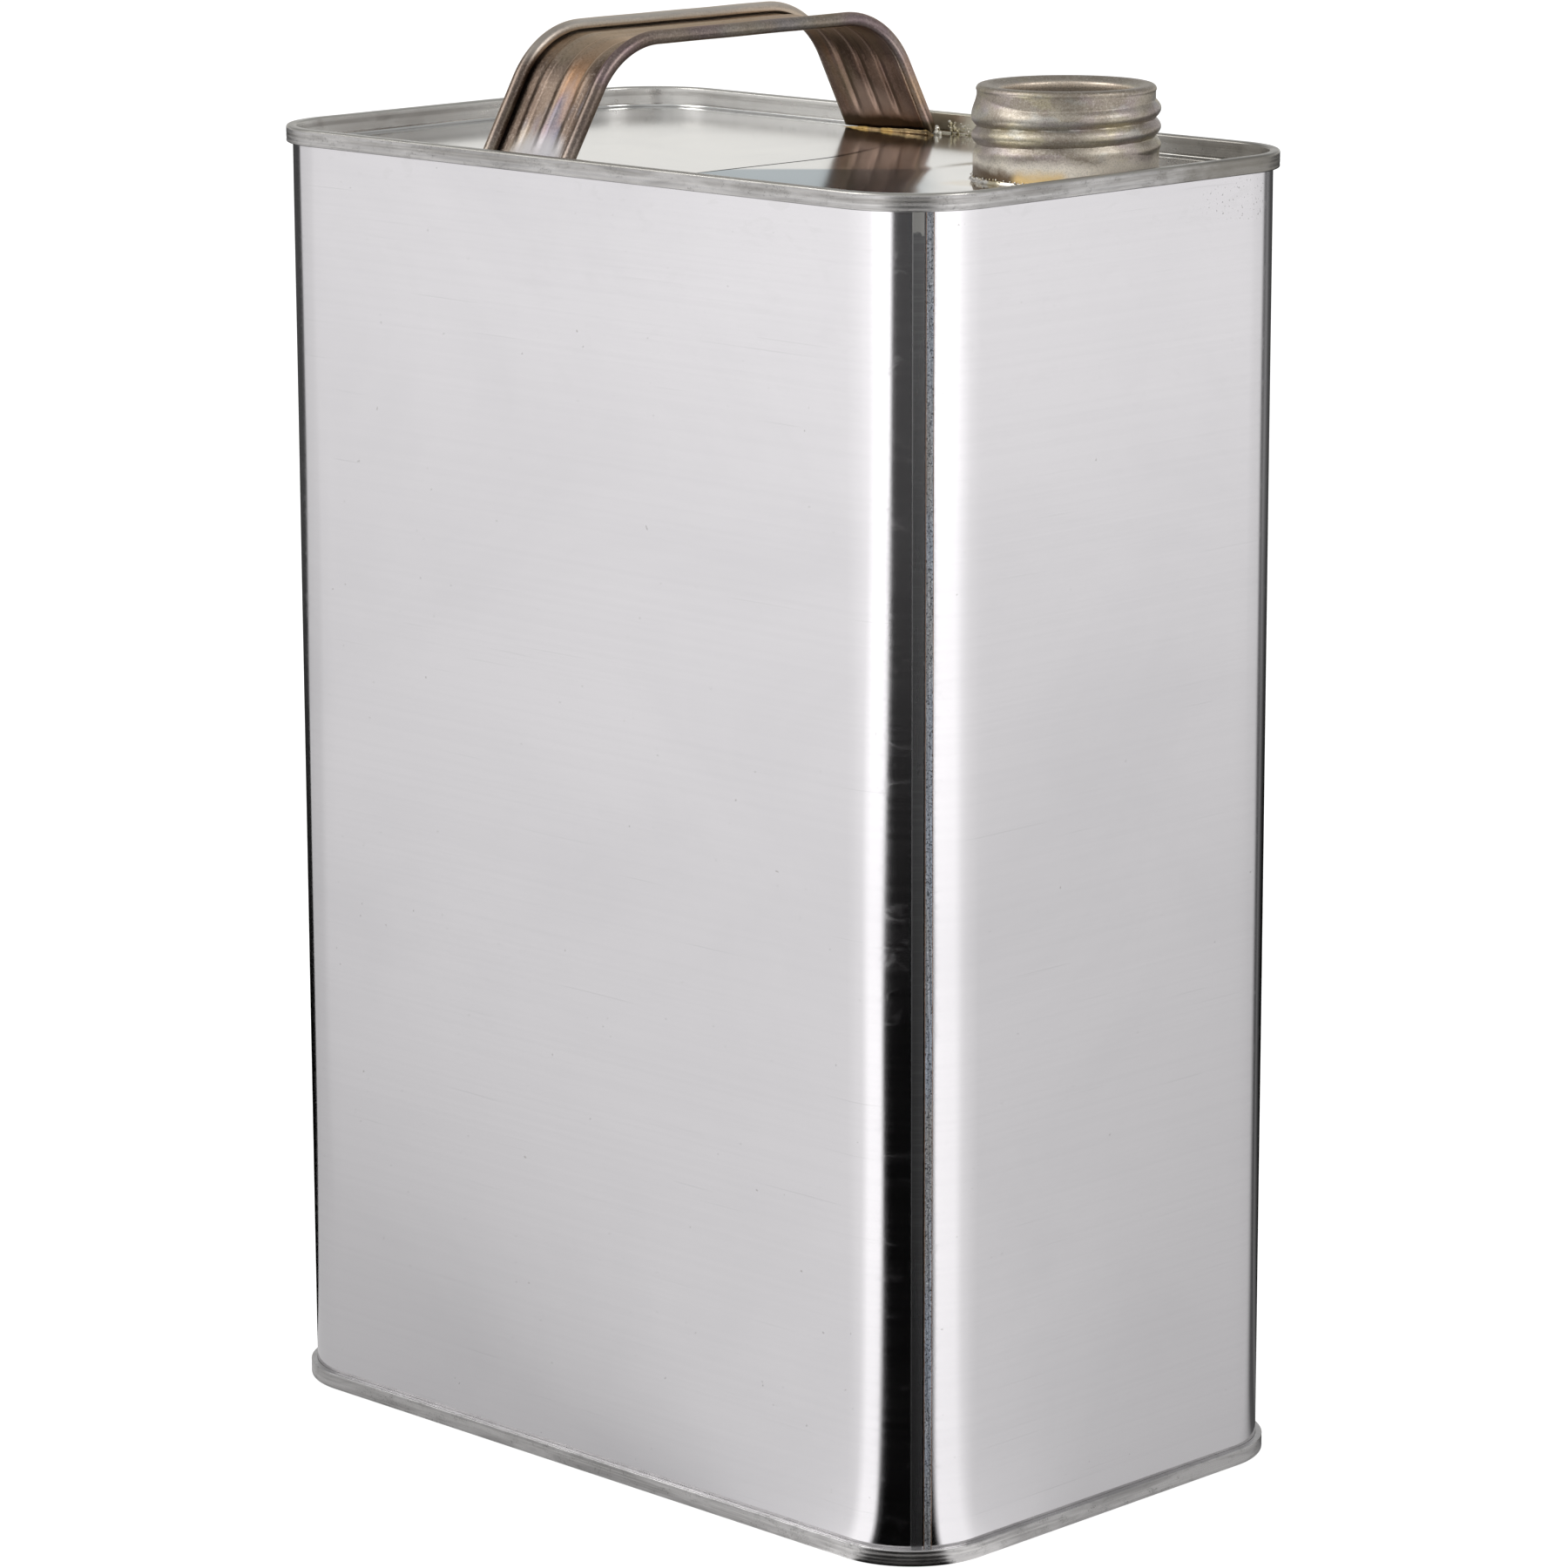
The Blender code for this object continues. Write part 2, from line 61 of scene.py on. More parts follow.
camera_data = bpy.data.cameras.new("photo_camera")
camera_data.lens = LENS_MM
camera_data.sensor_width = FILM_MM
camera = bpy.data.objects.new("photo_camera", camera_data)
bpy.context.collection.objects.link(camera)
camera.matrix_world = (
    Matrix.Translation(CAMERA_PLACE)
    @ Matrix.Rotation(CAMERA_TURN, 4, "Z")
    @ Matrix.Rotation(pi / 2 - CAMERA_DROP, 4, "X")
    @ Matrix.Rotation(CAMERA_ROLL, 4, "Z")
)
bpy.context.scene.camera = camera
bpy.context.scene.view_settings.view_transform = "Standard"


# The studio: a wide pale table, a pale room and two soft lamps. Tinplate is nearly a mirror, so the
# table is painted, for reflections alone, with the light and dark cards that stood round the can.
TABLE_SIZE = 12.0
TABLE_COLOUR = (0.4, 0.4, 0.4, 1.0)
TABLE_WHITE = 0.78
CARD_CENTRE = (0.068, -0.035)
CARD_LEVEL = 1.26
# Bearings in degrees from +X round towards +Y, and how bright the table reflects there
CARD_SHARES = (
    (-180, 0.0), (-176, 0.02), (-172.5, 0.57), (-165, 0.57), (-148, 0.62), (-133, 0.8), (-115, 0.87),
    (-100, 0.96), (-89, 1.32), (-74, 1.32), (-69, 0.055), (-64, 0.002), (-22, 0.002), (-17, 1.25),
    (8, 1.2), (20, 0.94), (28, 0.84), (44, 0.76), (56, 0.66), (75, 0.6), (78, 0.48), (81.5, 0.1),
    (86, 0.07), (90, 0.17), (95, 0.07), (101, 0.01), (106, 0.0), (180, 0.0),
)
CARD_LEAN = 11.0
CARD_LEAN_REACH = (0.35, 1.3)
TABLE_NEAR_SHARE = 0.75
TABLE_FADE_LENGTH = 1.6
TABLE_FAR_GLOW = 0.05
ROOM_WHITE = 1.0
ROOM_LIGHT = 0.8
# What the metal mirrors of the room: how bright by bearing, and how that changes with height
ROOM_SHARES = (
    (-180, 0.72), (-165, 0.75), (-140, 0.95), (-100, 1.00), (-80, 1.1), (-56, 1.05), (-34, 1.00),
    (-15, 0.72), (15, 0.66), (45, 0.8), (85, 0.76), (120, 0.95), (150, 0.9), (180, 0.72),
)
ROOM_LOW = (0.98, 0.97, 0.94)
ROOM_HIGH = (0.61, 0.62, 0.63)
ROOM_EDGE = (0.15, 0.28)
LAMP_AIM = Vector((0, 0, 0.15))
LAMPS = (
    ("left_softbox", (-0.9, -1.3, 1.5), 1.2, 16.0),
    ("right_softbox", (1.5, 0.3, 1.3), 0.9, 9.0),
)


class Patterns:
    """Short ways to lay patterns and colours out of nodes."""

    def __init__(self, tree):
        self.tree = tree

    def give(self, node, inputs):
        """Gives a node its inputs, each a plain value or another node's output."""
        for key, value in inputs.items():
            if isinstance(value, bpy.types.NodeSocket):
                self.tree.links.new(value, node.inputs[key])
            else:
                node.inputs[key].default_value = value

    def node(self, kind, inputs=None, **settings):
        node = self.tree.nodes.new(kind)
        for key, value in settings.items():
            setattr(node, key, value)
        self.give(node, inputs or {})
        return node

    def sums(self, operation, first, second=0.0, clamp=False):
        node = self.node("ShaderNodeMath", {0: first, 1: second}, operation=operation, use_clamp=clamp)
        return node.outputs[0]

    def times(self, first, second):
        return self.sums("MULTIPLY", first, second)

    def plus(self, first, second):
        return self.sums("ADD", first, second)

    def minus(self, first, second, clamp=False):
        return self.sums("SUBTRACT", first, second, clamp)

    def apart(self, first, second=0.0):
        """How far two values are from each other."""
        return self.sums("ABSOLUTE", self.minus(first, second))

    def vectors(self, operation, first, second=(0, 0, 0)):
        return self.node("ShaderNodeVectorMath", {0: first, 1: second}, operation=operation).outputs

    def length(self, vector):
        return self.vectors("LENGTH", vector)["Value"]

    def compass(self, vector):
        """The bearing of a place round +Z, as a share of a turn: 0.5 is +X."""
        return self.node("ShaderNodeTexGradient", {"Vector": vector}, gradient_type="RADIAL").outputs["Fac"]

    def place(self, centre=(0, 0, 0), scale=(1, 1, 1)):
        """Object coordinates measured from a centre and stretched."""
        coordinates = self.node("ShaderNodeTexCoord").outputs["Object"]
        return self.vectors("MULTIPLY", self.vectors("SUBTRACT", coordinates, centre)[0], scale)[0]

    def axes(self, centre=(0, 0, 0)):
        """X, Y and Z on the object, measured from a centre."""
        return self.node("ShaderNodeSeparateXYZ", {0: self.place(centre)}).outputs

    def grain(self, size, scale=(1, 1, 1), detail=3.0, rough=0.5, warp=0.0, centre=(0, 0, 0)):
        """Noise from 0 to 1: the larger size and scale are, the finer it is."""
        inputs = {"Vector": self.place(centre, scale), "Scale": size, "Detail": detail}
        inputs.update({"Roughness": rough, "Distortion": warp})
        return self.node("ShaderNodeTexNoise", inputs).outputs["Fac"]

    def spread(self, value, low, high, to_low=0.0, to_high=1.0):
        """A value between low and high, spread smoothly from to_low to to_high."""
        inputs = {"Value": value, "From Min": low, "From Max": high, "To Min": to_low, "To Max": to_high}
        return self.node("ShaderNodeMapRange", inputs, interpolation_type="SMOOTHSTEP").outputs["Result"]

    def fade(self, value, to_low, to_high, high=1.0):
        """A value between 0 and high, turned evenly into one from to_low to to_high."""
        inputs = {"Value": value, "From Max": high, "To Min": to_low, "To Max": to_high}
        return self.node("ShaderNodeMapRange", inputs).outputs["Result"]

    def near(self, centre, reach, stretch=(1, 1, 1)):
        """1 at a place on the object, falling to 0 at reach from it."""
        return self.spread(self.length(self.place(centre, stretch)), 0.0, reach, 1.0, 0.0)

    def mix(self, amount, first, second, blend="MIX"):
        inputs = {0: amount}
        for index, value in ((6, first), (7, second)):
            inputs[index] = value if isinstance(value, bpy.types.NodeSocket) else (*value, 1.0)
        return self.node("ShaderNodeMix", inputs, data_type="RGBA", blend_type=blend).outputs[2]

    def ramp(self, bearing, shares):
        """Brightness round the compass: shares are pairs of a bearing in degrees and a level."""
        node = self.node("ShaderNodeValToRGB", {"Fac": bearing})
        stops = node.color_ramp.elements
        for stop, (degrees, share) in zip((stops[0], stops[1]), (shares[0], shares[-1])):
            stop.position = degrees / 360 + 0.5
            stop.color = (share, share, share, 1.0)
        for degrees, share in shares[1:-1]:
            stops.new(degrees / 360 + 0.5).color = (share, share, share, 1.0)
        return node.outputs["Color"]


class Finish(Patterns):
    """A surface finish: a Principled shader, with colours laid over each other in its tone."""

    def __init__(self, name, metallic=1.0):
        self.material = bpy.data.materials.new(name)
        self.material.use_nodes = True
        super().__init__(self.material.node_tree)
        self.shader = self.tree.nodes["Principled BSDF"]
        self.set(Metallic=metallic)

    def set(self, **inputs):
        self.give(self.shader, {key.replace("_", " "): value for key, value in inputs.items()})

    def start_tone(self, value, low, high, first, second):
        """The tone goes from the first colour to the second as a value goes from low to high."""
        self.tone = self.mix(self.spread(value, low, high), first, second)

    def lay(self, colour, amount, mask=1.0, low=None, high=None, blend="MIX"):
        """Lays a colour on the tone where the mask is 1, or where it has gone from low to high."""
        if low is not None:
            mask = self.spread(mask, low, high)
        self.tone = self.mix(self.times(mask, amount), self.tone, colour, blend)

    def done(self, rough, relief, depth, strength):
        """Gives the shader its tone, its roughness and a bump, and returns the material."""
        bump = {"Strength": strength, "Distance": depth, "Height": relief}
        self.set(Base_Color=self.tone, Roughness=rough, Normal=self.node("ShaderNodeBump", bump).outputs[0])
        return self.material


def table_finish():
    finish = Finish("studio_table", metallic=0.0)
    finish.set(Base_Color=TABLE_COLOUR, Roughness=0.9)
    rays = finish.node("ShaderNodeLightPath").outputs
    place = finish.place((*CARD_CENTRE, 0))
    away = finish.length(place)
    bearing = finish.compass(place)
    # The left card's edge leans in towards the can
    left_side = finish.spread(bearing, 0.5 - 60 / 360, 0.5 - 30 / 360, 1.0, 0.0)
    lean = finish.spread(away, *CARD_LEAN_REACH, CARD_LEAN / 360, 0.0)
    cards = finish.ramp(finish.plus(bearing, finish.times(lean, left_side)), CARD_SHARES)
    # Near the can the table's painted reflection fades darker, a painted shade
    cards = finish.times(cards, finish.fade(away, TABLE_NEAR_SHARE, 1.0, TABLE_FADE_LENGTH))
    level = finish.plus(cards, finish.spread(away, *CARD_LEAN_REACH, 0.0, TABLE_FAR_GLOW))
    cards = finish.node("ShaderNodeEmission", {"Strength": finish.times(level, CARD_LEVEL)}).outputs[0]
    own = finish.shader.outputs[0]
    white = finish.node("ShaderNodeEmission", {"Strength": TABLE_WHITE}).outputs[0]
    seen = finish.node("ShaderNodeAddShader", {0: own, 1: white}).outputs[0]
    look = finish.node("ShaderNodeMixShader", {0: rays["Is Camera Ray"], 1: own, 2: seen}).outputs[0]
    look = finish.node("ShaderNodeMixShader", {0: rays["Is Glossy Ray"], 1: look, 2: cards}).outputs[0]
    finish.give(finish.tree.nodes["Material Output"], {"Surface": look})
    return finish.material


bpy.ops.object.select_all(action="DESELECT")
bpy.ops.mesh.primitive_plane_add(size=TABLE_SIZE, location=(0, 0, 0))
table = bpy.context.object
table.name = "studio_table"
table.data.materials.append(table_finish())

room = bpy.data.worlds.new("pale_room")
room.use_nodes = True
bpy.context.scene.world = room
sky = Patterns(room.node_tree)
ray = sky.node("ShaderNodeLightPath").outputs
heading = sky.node("ShaderNodeTexCoord").outputs["Generated"]
height = sky.node("ShaderNodeSeparateXYZ", {0: heading}).outputs["Z"]
tint = sky.mix(sky.spread(height, *ROOM_EDGE), ROOM_LOW, ROOM_HIGH)
mirrored = sky.mix(1.0, tint, sky.ramp(sky.compass(heading), ROOM_SHARES), "MULTIPLY")
plain = sky.fade(ray["Is Camera Ray"], ROOM_LIGHT, ROOM_WHITE)
colour = sky.mix(ray["Is Glossy Ray"], plain, mirrored)
sky.give(sky.tree.nodes["Background"], {"Color": colour})

for name, place, size, watts in LAMPS:
    lamp_data = bpy.data.lights.new(name, "AREA")
    lamp_data.size = size
    lamp_data.energy = watts
    lamp = bpy.data.objects.new(name, lamp_data)
    lamp.location = place
    lamp.rotation_euler = (LAMP_AIM - Vector(place)).to_track_quat("-Z", "Y").to_euler()
    bpy.context.collection.objects.link(lamp)


# The body: one sheet of bright tinplate, a quarter of a millimetre thick, bent round the oblong and
# joined at the front right corner. Its walls are nearly flat, with the shallow waves of thin sheet.
seam_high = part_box("top_end")[1]
CAN_HEIGHT = seam_high.z
SEAM_REACH = 0.0012
BODY_HALF_X = seam_high.x - SEAM_REACH
BODY_HALF_Y = seam_high.y - SEAM_REACH
CORNER_RADIUS = 0.016
CORNER_SEGMENTS = 32
BODY_SHEET = 0.00025
BODY_END_DEPTH = 0.0008
WALL_WAVE = 0.00016
WALL_WAVE_SIZE = 0.075
CORNER_WAVE = 0.00004
WAVE_END_MARGIN = 0.004
WAVE_FADE = 0.03
PITS_PLACE = (BODY_HALF_X, 0.033, CAN_HEIGHT - 0.0075)


def switch(mode):
    """Goes over to editing the active piece's mesh, EDIT, or back to whole pieces, OBJECT."""
    bpy.ops.object.mode_set(mode=mode)


def select_whole():
    bpy.ops.mesh.select_all(action="SELECT")


def face_outward():
    select_whole()
    bpy.ops.mesh.normals_make_consistent(inside=False)


def thicken(piece, thickness, offset):
    """Makes a bent sheet solid: offset is -1 for inward, 1 for outward and 0 for both ways."""
    sheet = piece.modifiers.new("sheet", "SOLIDIFY")
    sheet.thickness = thickness
    sheet.offset = offset
    bpy.ops.object.modifier_apply(modifier=sheet.name)


def start(kind, **settings):
    """Adds one primitive with nothing else selected, and opens it for editing."""
    bpy.ops.object.select_all(action="DESELECT")
    getattr(bpy.ops.mesh, "primitive_" + kind + "_add")(**settings)
    bpy.ops.object.transform_apply(location=True, rotation=True, scale=True)
    piece = bpy.context.object
    switch("EDIT")
    return piece


def pick(piece, kind, wanted):
    """Selects, in edit mode, the vertices, edges or faces for which wanted is true."""
    bpy.ops.mesh.select_mode(type={"verts": "VERT", "edges": "EDGE", "faces": "FACE"}[kind])
    bpy.ops.mesh.select_all(action="DESELECT")
    mesh = bmesh.from_edit_mesh(piece.data)
    for element in getattr(mesh, kind):
        if wanted(element):
            element.select_set(True)
    mesh.select_flush_mode()
    bmesh.update_edit_mesh(piece.data)


def divide(piece, wanted, cuts):
    pick(piece, "edges", wanted)
    bpy.ops.mesh.subdivide(number_cuts=cuts)


def pull(step):
    bpy.ops.mesh.extrude_region_move(TRANSFORM_OT_translate={"value": step})


def start_oblong(half_x, half_y, radius, z):
    """A flat face in the can's outline: a plane at its size, with its four corners rounded."""
    piece = start("plane", size=1, location=(0, 0, z))
    select_whole()
    bpy.ops.transform.resize(value=(2 * half_x, 2 * half_y, 1))
    bpy.ops.mesh.bevel(offset=radius, segments=CORNER_SEGMENTS, profile=0.5, affect="VERTICES")
    return piece


def finish_piece(piece, name, finish, *nodes, slot=None, sharp=35):
    """Closes editing, puts the piece's place in its mesh, and hands it to the frame."""
    if piece.mode == "EDIT":
        switch("OBJECT")
    bpy.ops.object.select_all(action="DESELECT")
    piece.select_set(True)
    bpy.context.view_layer.objects.active = piece
    bpy.ops.object.transform_apply(location=True, rotation=True, scale=True)
    bpy.ops.object.shade_smooth_by_angle(angle=radians(sharp))
    piece.name = name
    piece.data.materials.clear()
    piece.data.materials.append(finish)
    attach(piece, "root")
    if nodes:
        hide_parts(*nodes)


def body_finish():
    """Bright rolled tinplate: a faint grain along the sheet, fine scratches, smudges and specks."""
    tin = Finish("bright_tinplate")
    roll_lines = tin.grain(1, (5, 5, 1100), detail=4, rough=0.6)
    smudge = tin.grain(13, (1, 1, 1.5), detail=5, rough=0.6, warp=0.6)
    dust = tin.grain(2600, rough=0.7)
    tin.start_tone(smudge, 0.35, 0.75, (0.752, 0.733, 0.752), (0.712, 0.695, 0.715))
    tin.lay((0.645, 0.63, 0.65), 0.11, roll_lines, 0.35, 0.7)
    tin.lay((0.62, 0.62, 0.63), 0.14, dust, 0.5, 0.7)
    tin.lay((0.5, 0.5, 0.5), 0.22, tin.grain(1, (26, 26, 2400), detail=2), 0.7, 0.78)
    tin.lay((0.36, 0.35, 0.33), 0.45, tin.grain(820, detail=2), 0.755, 0.79)
    under_seam = tin.spread(tin.axes()["Z"], CAN_HEIGHT - 0.013, CAN_HEIGHT - 0.004)
    blots = tin.spread(tin.grain(150, (1, 1, 2.2), detail=4, rough=0.55, warp=0.8), 0.6, 0.65)
    tin.lay((0.6, 0.6, 0.59), 0.1, tin.times(blots, under_seam))
    # A scatter of small pits under the seam on the narrow face, towards the back
    pitted = tin.spread(tin.near(PITS_PLACE, 0.017, (1, 1, 3.2)), 0.05, 0.45)
    pits = tin.spread(tin.grain(1900, detail=1, centre=(0.3, 0, 0)), 0.675, 0.72)
    tin.lay((0.3, 0.295, 0.29), 0.8, tin.times(pits, pitted))
    rough = tin.plus(tin.spread(roll_lines, 0.25, 0.75, 0.1, 0.135), tin.times(blots, 0.04))
    rough = tin.plus(rough, tin.spread(smudge, 0.45, 0.8, 0.0, 0.04))
    return tin.done(rough, tin.plus(roll_lines, dust), 0.000012, 0.22)


body = start_oblong(BODY_HALF_X, BODY_HALF_Y, CORNER_RADIUS, BODY_END_DEPTH)
bpy.ops.mesh.delete(type="ONLY_FACE")
for longest, cuts in ((2 * BODY_HALF_X, 47), (2 * BODY_HALF_Y, 23)):
    straight = longest - 2 * CORNER_RADIUS
    divide(body, lambda edge: abs(edge.calc_length() - straight) < CORNER_RADIUS / 10, cuts)
select_whole()
pull((0, 0, CAN_HEIGHT - 2 * BODY_END_DEPTH))
divide(body, lambda edge: abs(edge.verts[0].co.z - edge.verts[1].co.z) > CAN_HEIGHT / 2, 71)
face_outward()
switch("OBJECT")
flat_x = BODY_HALF_X - CORNER_RADIUS
flat_y = BODY_HALF_Y - CORNER_RADIUS
for vertex in body.data.vertices:
    x, y, z = vertex.co
    from_end = min(z, CAN_HEIGHT - z)
    hold = min(max(from_end - WAVE_END_MARGIN, 0) / WAVE_FADE, 1)
    if abs(x) < flat_x:
        share = min((flat_x - abs(x)) / WAVE_FADE, 1) * hold
        wave = noise.noise(Vector((x, 3.1 if y > 0 else 7.7, z)) / WALL_WAVE_SIZE)
        vertex.co.y += share * wave * WALL_WAVE
    elif abs(y) < flat_y:
        share = min((flat_y - abs(y)) / WAVE_FADE, 1) * hold
        wave = noise.noise(Vector((1.3 if x > 0 else 5.9, y, z)) / WALL_WAVE_SIZE)
        vertex.co.x += share * wave * WALL_WAVE
    else:
        # The rounded corners carry faint upright streaks from the bending
        bearing = atan2(y, x) + atan2(abs(y) - flat_y, abs(x) - flat_x) * 6
        wave = hold * CORNER_WAVE * noise.noise(Vector((bearing, z / 0.05, 8.3)))
        out = Vector((x - copysign(flat_x, x), y - copysign(flat_y, y), 0))
        vertex.co += out.normalized() * wave
thicken(body, BODY_SHEET, -1)
finish_piece(body, "tin_body", body_finish(), "body_shell", slot="tinplate_body")


# The two ends: stampings of the same tinplate, each with a sunk panel, a chuck wall up to the rim
# and an outer wall that is rolled under the body's edge. The seaming rolls leave them dull and lined.
SEAM_HEIGHT = 0.0031
SEAM_FOOT_RADIUS = 0.0003
SEAM_EDGE_RADIUS = 0.00045
SEAM_WIDTH = 0.00185
# The outer wall from its foot up: the share of its height each step climbs, and how far it is sunk
ROLLER_LINES = (
    (0.08, 0.00003), (0.12, 0.00004), (0.08, 0.00001), (0.16, 0.0), (0.07, 0.00003), (0.07, 0.00001),
    (0.16, 0.0), (0.06, 0.00002), (0.07, 0.0), (0.13, 0.00001),
)
PANEL_DEPTH = 0.0038
PANEL_EDGE_RADIUS = 0.0005
END_SHEET = 0.00025
LIP_GAP = 0.00005
LIP_DRAFT = 0.00001
CHUCK_DRAFT = 0.00006
ROUND_STEPS = 5
neck_low, neck_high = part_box("screw_neck")
NECK_X = (neck_low.x + neck_high.x) / 2
NECK_Y = (neck_low.y + neck_high.y) / 2
NECK_BASE_RADIUS = 0.01635
NECK_CLEARANCE = 0.0003
HOLE_TOOL_DEPTH = 0.004
PANEL_Z = CAN_HEIGHT - PANEL_DEPTH
# The panel's faint fold runs back from the near seam and then bends off to the left
CREASE_X = 0.0099
CREASE_SLOPE = 0.0105
CREASE_BEND_Y = 0.007
CREASE_BEND_SLOPE = -0.36
CREASE_RISE = 0.00015
CREASE_REACH = 0.045
SWELL_WIDTH = 0.014
SWELL_RISE = 0.0002
PANEL_HOLD = 0.02
PANEL_WAVE = 0.00004


def inset(across, depth=0):
    bpy.ops.mesh.inset(thickness=across, depth=depth)


def roll_edge(radius, start_angle, end_angle, facing):
    """Insets the selected face along an arc: facing is 1 where it rises inward, -1 where it sinks."""
    for step in range(ROUND_STEPS):
        angle = start_angle + (end_angle - start_angle) * step / ROUND_STEPS
        after = start_angle + (end_angle - start_angle) * (step + 1) / ROUND_STEPS
        across = radius * abs(cos(angle) - cos(after))
        along = radius * abs(sin(after) - sin(angle))
        inset(across, facing * along)


def crease_x(y):
    return CREASE_X + CREASE_SLOPE * y + CREASE_BEND_SLOPE * max(y - CREASE_BEND_Y, 0)


def end_finish(name, stains):
    """Dull rolled tinplate on the seam, near-mirror tinplate on the panel, with any flux stains."""
    tin = Finish(name)
    x, y, z = tin.axes()
    if stains:
        on_panel = tin.spread(z, PANEL_Z + 0.0002, PANEL_Z + 0.0009, 1.0, 0.0)
    else:
        on_panel = tin.spread(z, PANEL_DEPTH - 0.0009, PANEL_DEPTH)
    roll_lines = tin.grain(1, (14, 14, 3000), rough=0.6)
    mottle = tin.grain(520, (0.5, 0.5, 1), detail=5, rough=0.65)
    smear = tin.grain(420, (0.12, 0.12, 1), detail=4, rough=0.6, warp=0.6)
    speck = tin.grain(3400, rough=0.7)
    pits = tin.times(tin.spread(speck, 0.54, 0.62), tin.spread(mottle, 0.47, 0.62))
    tin.start_tone(smear, 0.32, 0.68, (0.56, 0.547, 0.545), (0.36, 0.35, 0.348))
    tin.lay((0.27, 0.265, 0.26), 0.4, mottle, 0.5, 0.7)
    tin.lay((0.68, 0.665, 0.65), 0.45, roll_lines, 0.45, 0.68)
    tin.lay((0.13, 0.125, 0.12), 0.55, pits)
    if stains:
        # The chuck wall inside the seam is painted lighter, a painted reflection
        beyond = tin.vectors("SUBTRACT", tin.vectors("ABSOLUTE", tin.place())[0], (flat_x, flat_y, 1))[0]
        outward = tin.length(tin.vectors("MAXIMUM", beyond)[0])
        tin.lay((0.76, 0.75, 0.73), 0.65, outward, CORNER_RADIUS + 0.0003, CORNER_RADIUS - 0.0002)
        # A smeared line runs along the middle of the outer wall, and the rim's top edge is duller
        off_line = tin.apart(z, CAN_HEIGHT - 0.00125)
        tin.lay((0.3, 0.285, 0.27), tin.spread(smear, 0.3, 0.6, 0.1, 0.55), off_line, 0.0006, 0.0002)
        tin.lay((0.4, 0.38, 0.33), 0.7, z, CAN_HEIGHT - 0.0005, CAN_HEIGHT - 0.00015)
    haze = tin.grain(38, detail=4, rough=0.55, warp=0.5)
    bright = tin.mix(tin.spread(haze, 0.35, 0.7), (0.66, 0.652, 0.63), (0.6, 0.595, 0.58))
    tin.lay(bright, 1.0, on_panel)
    if stains:
        # The fold is painted as a hair-thin dark line, a painted shade, and on its near side the edge tint
        # is painted darker and cooler, a painted reflection
        straight = tin.plus(tin.times(y, CREASE_SLOPE), CREASE_X)
        past_bend = {0: tin.minus(y, CREASE_BEND_Y), 1: 0.0, 2: 0.012}
        past_bend = tin.node("ShaderNodeMath", past_bend, operation="SMOOTH_MAX").outputs[0]
        beside = tin.minus(x, tin.plus(straight, tin.times(past_bend, CREASE_BEND_SLOPE)))
        crease_painted_shade_line = tin.spread(tin.apart(beside), 0.0002, 0.0006, 1.0, 0.0)
        crease_painted_shade_line = tin.times(crease_painted_shade_line, tin.spread(y, 0.006, 0.03, 1.0, 0.4))
        crease_painted_shade_line = tin.times(crease_painted_shade_line, tin.times(on_panel, tin.spread(y, -0.042, -0.02)))
        tin.lay((0.3, 0.3, 0.29), 1.0, crease_painted_shade_line)
        toward = tin.spread(tin.minus(x, y), 0.027, 0.033)
        toward = tin.times(toward, tin.spread(tin.plus(x, y), 0.044, 0.03))
        near_side_painted_reflection = tin.times(tin.spread(beside, 0.0, 0.0004), on_panel)
        painted_reflection_tint = tin.mix(tin.times(near_side_painted_reflection, toward), (1.0, 1.0, 1.0), (0.55, 0.61, 0.66))
        tin.set(Specular_Tint=tin.mix(crease_painted_shade_line, painted_reflection_tint, (0.0, 0.0, 0.0)))
    for centre, reach, stretch, colour, amount in stains:
        patch = tin.plus(tin.near(centre, reach, stretch), tin.times(mottle, 0.5))
        tin.lay(colour, amount, patch, 0.35, 0.95)
    seam_rough = tin.plus(tin.spread(mottle, 0.3, 0.7, 0.24, 0.34), tin.spread(smear, 0.3, 0.7, 0.0, 0.07))
    relief = tin.plus(roll_lines, tin.minus(mottle, tin.times(pits, 0.4)))
    relief = tin.times(relief, tin.spread(on_panel, 0.0, 1.0, 1.0, 0.03))
    return tin.done(tin.fade(on_panel, seam_rough, 0.11), relief, 0.00004, 0.5)


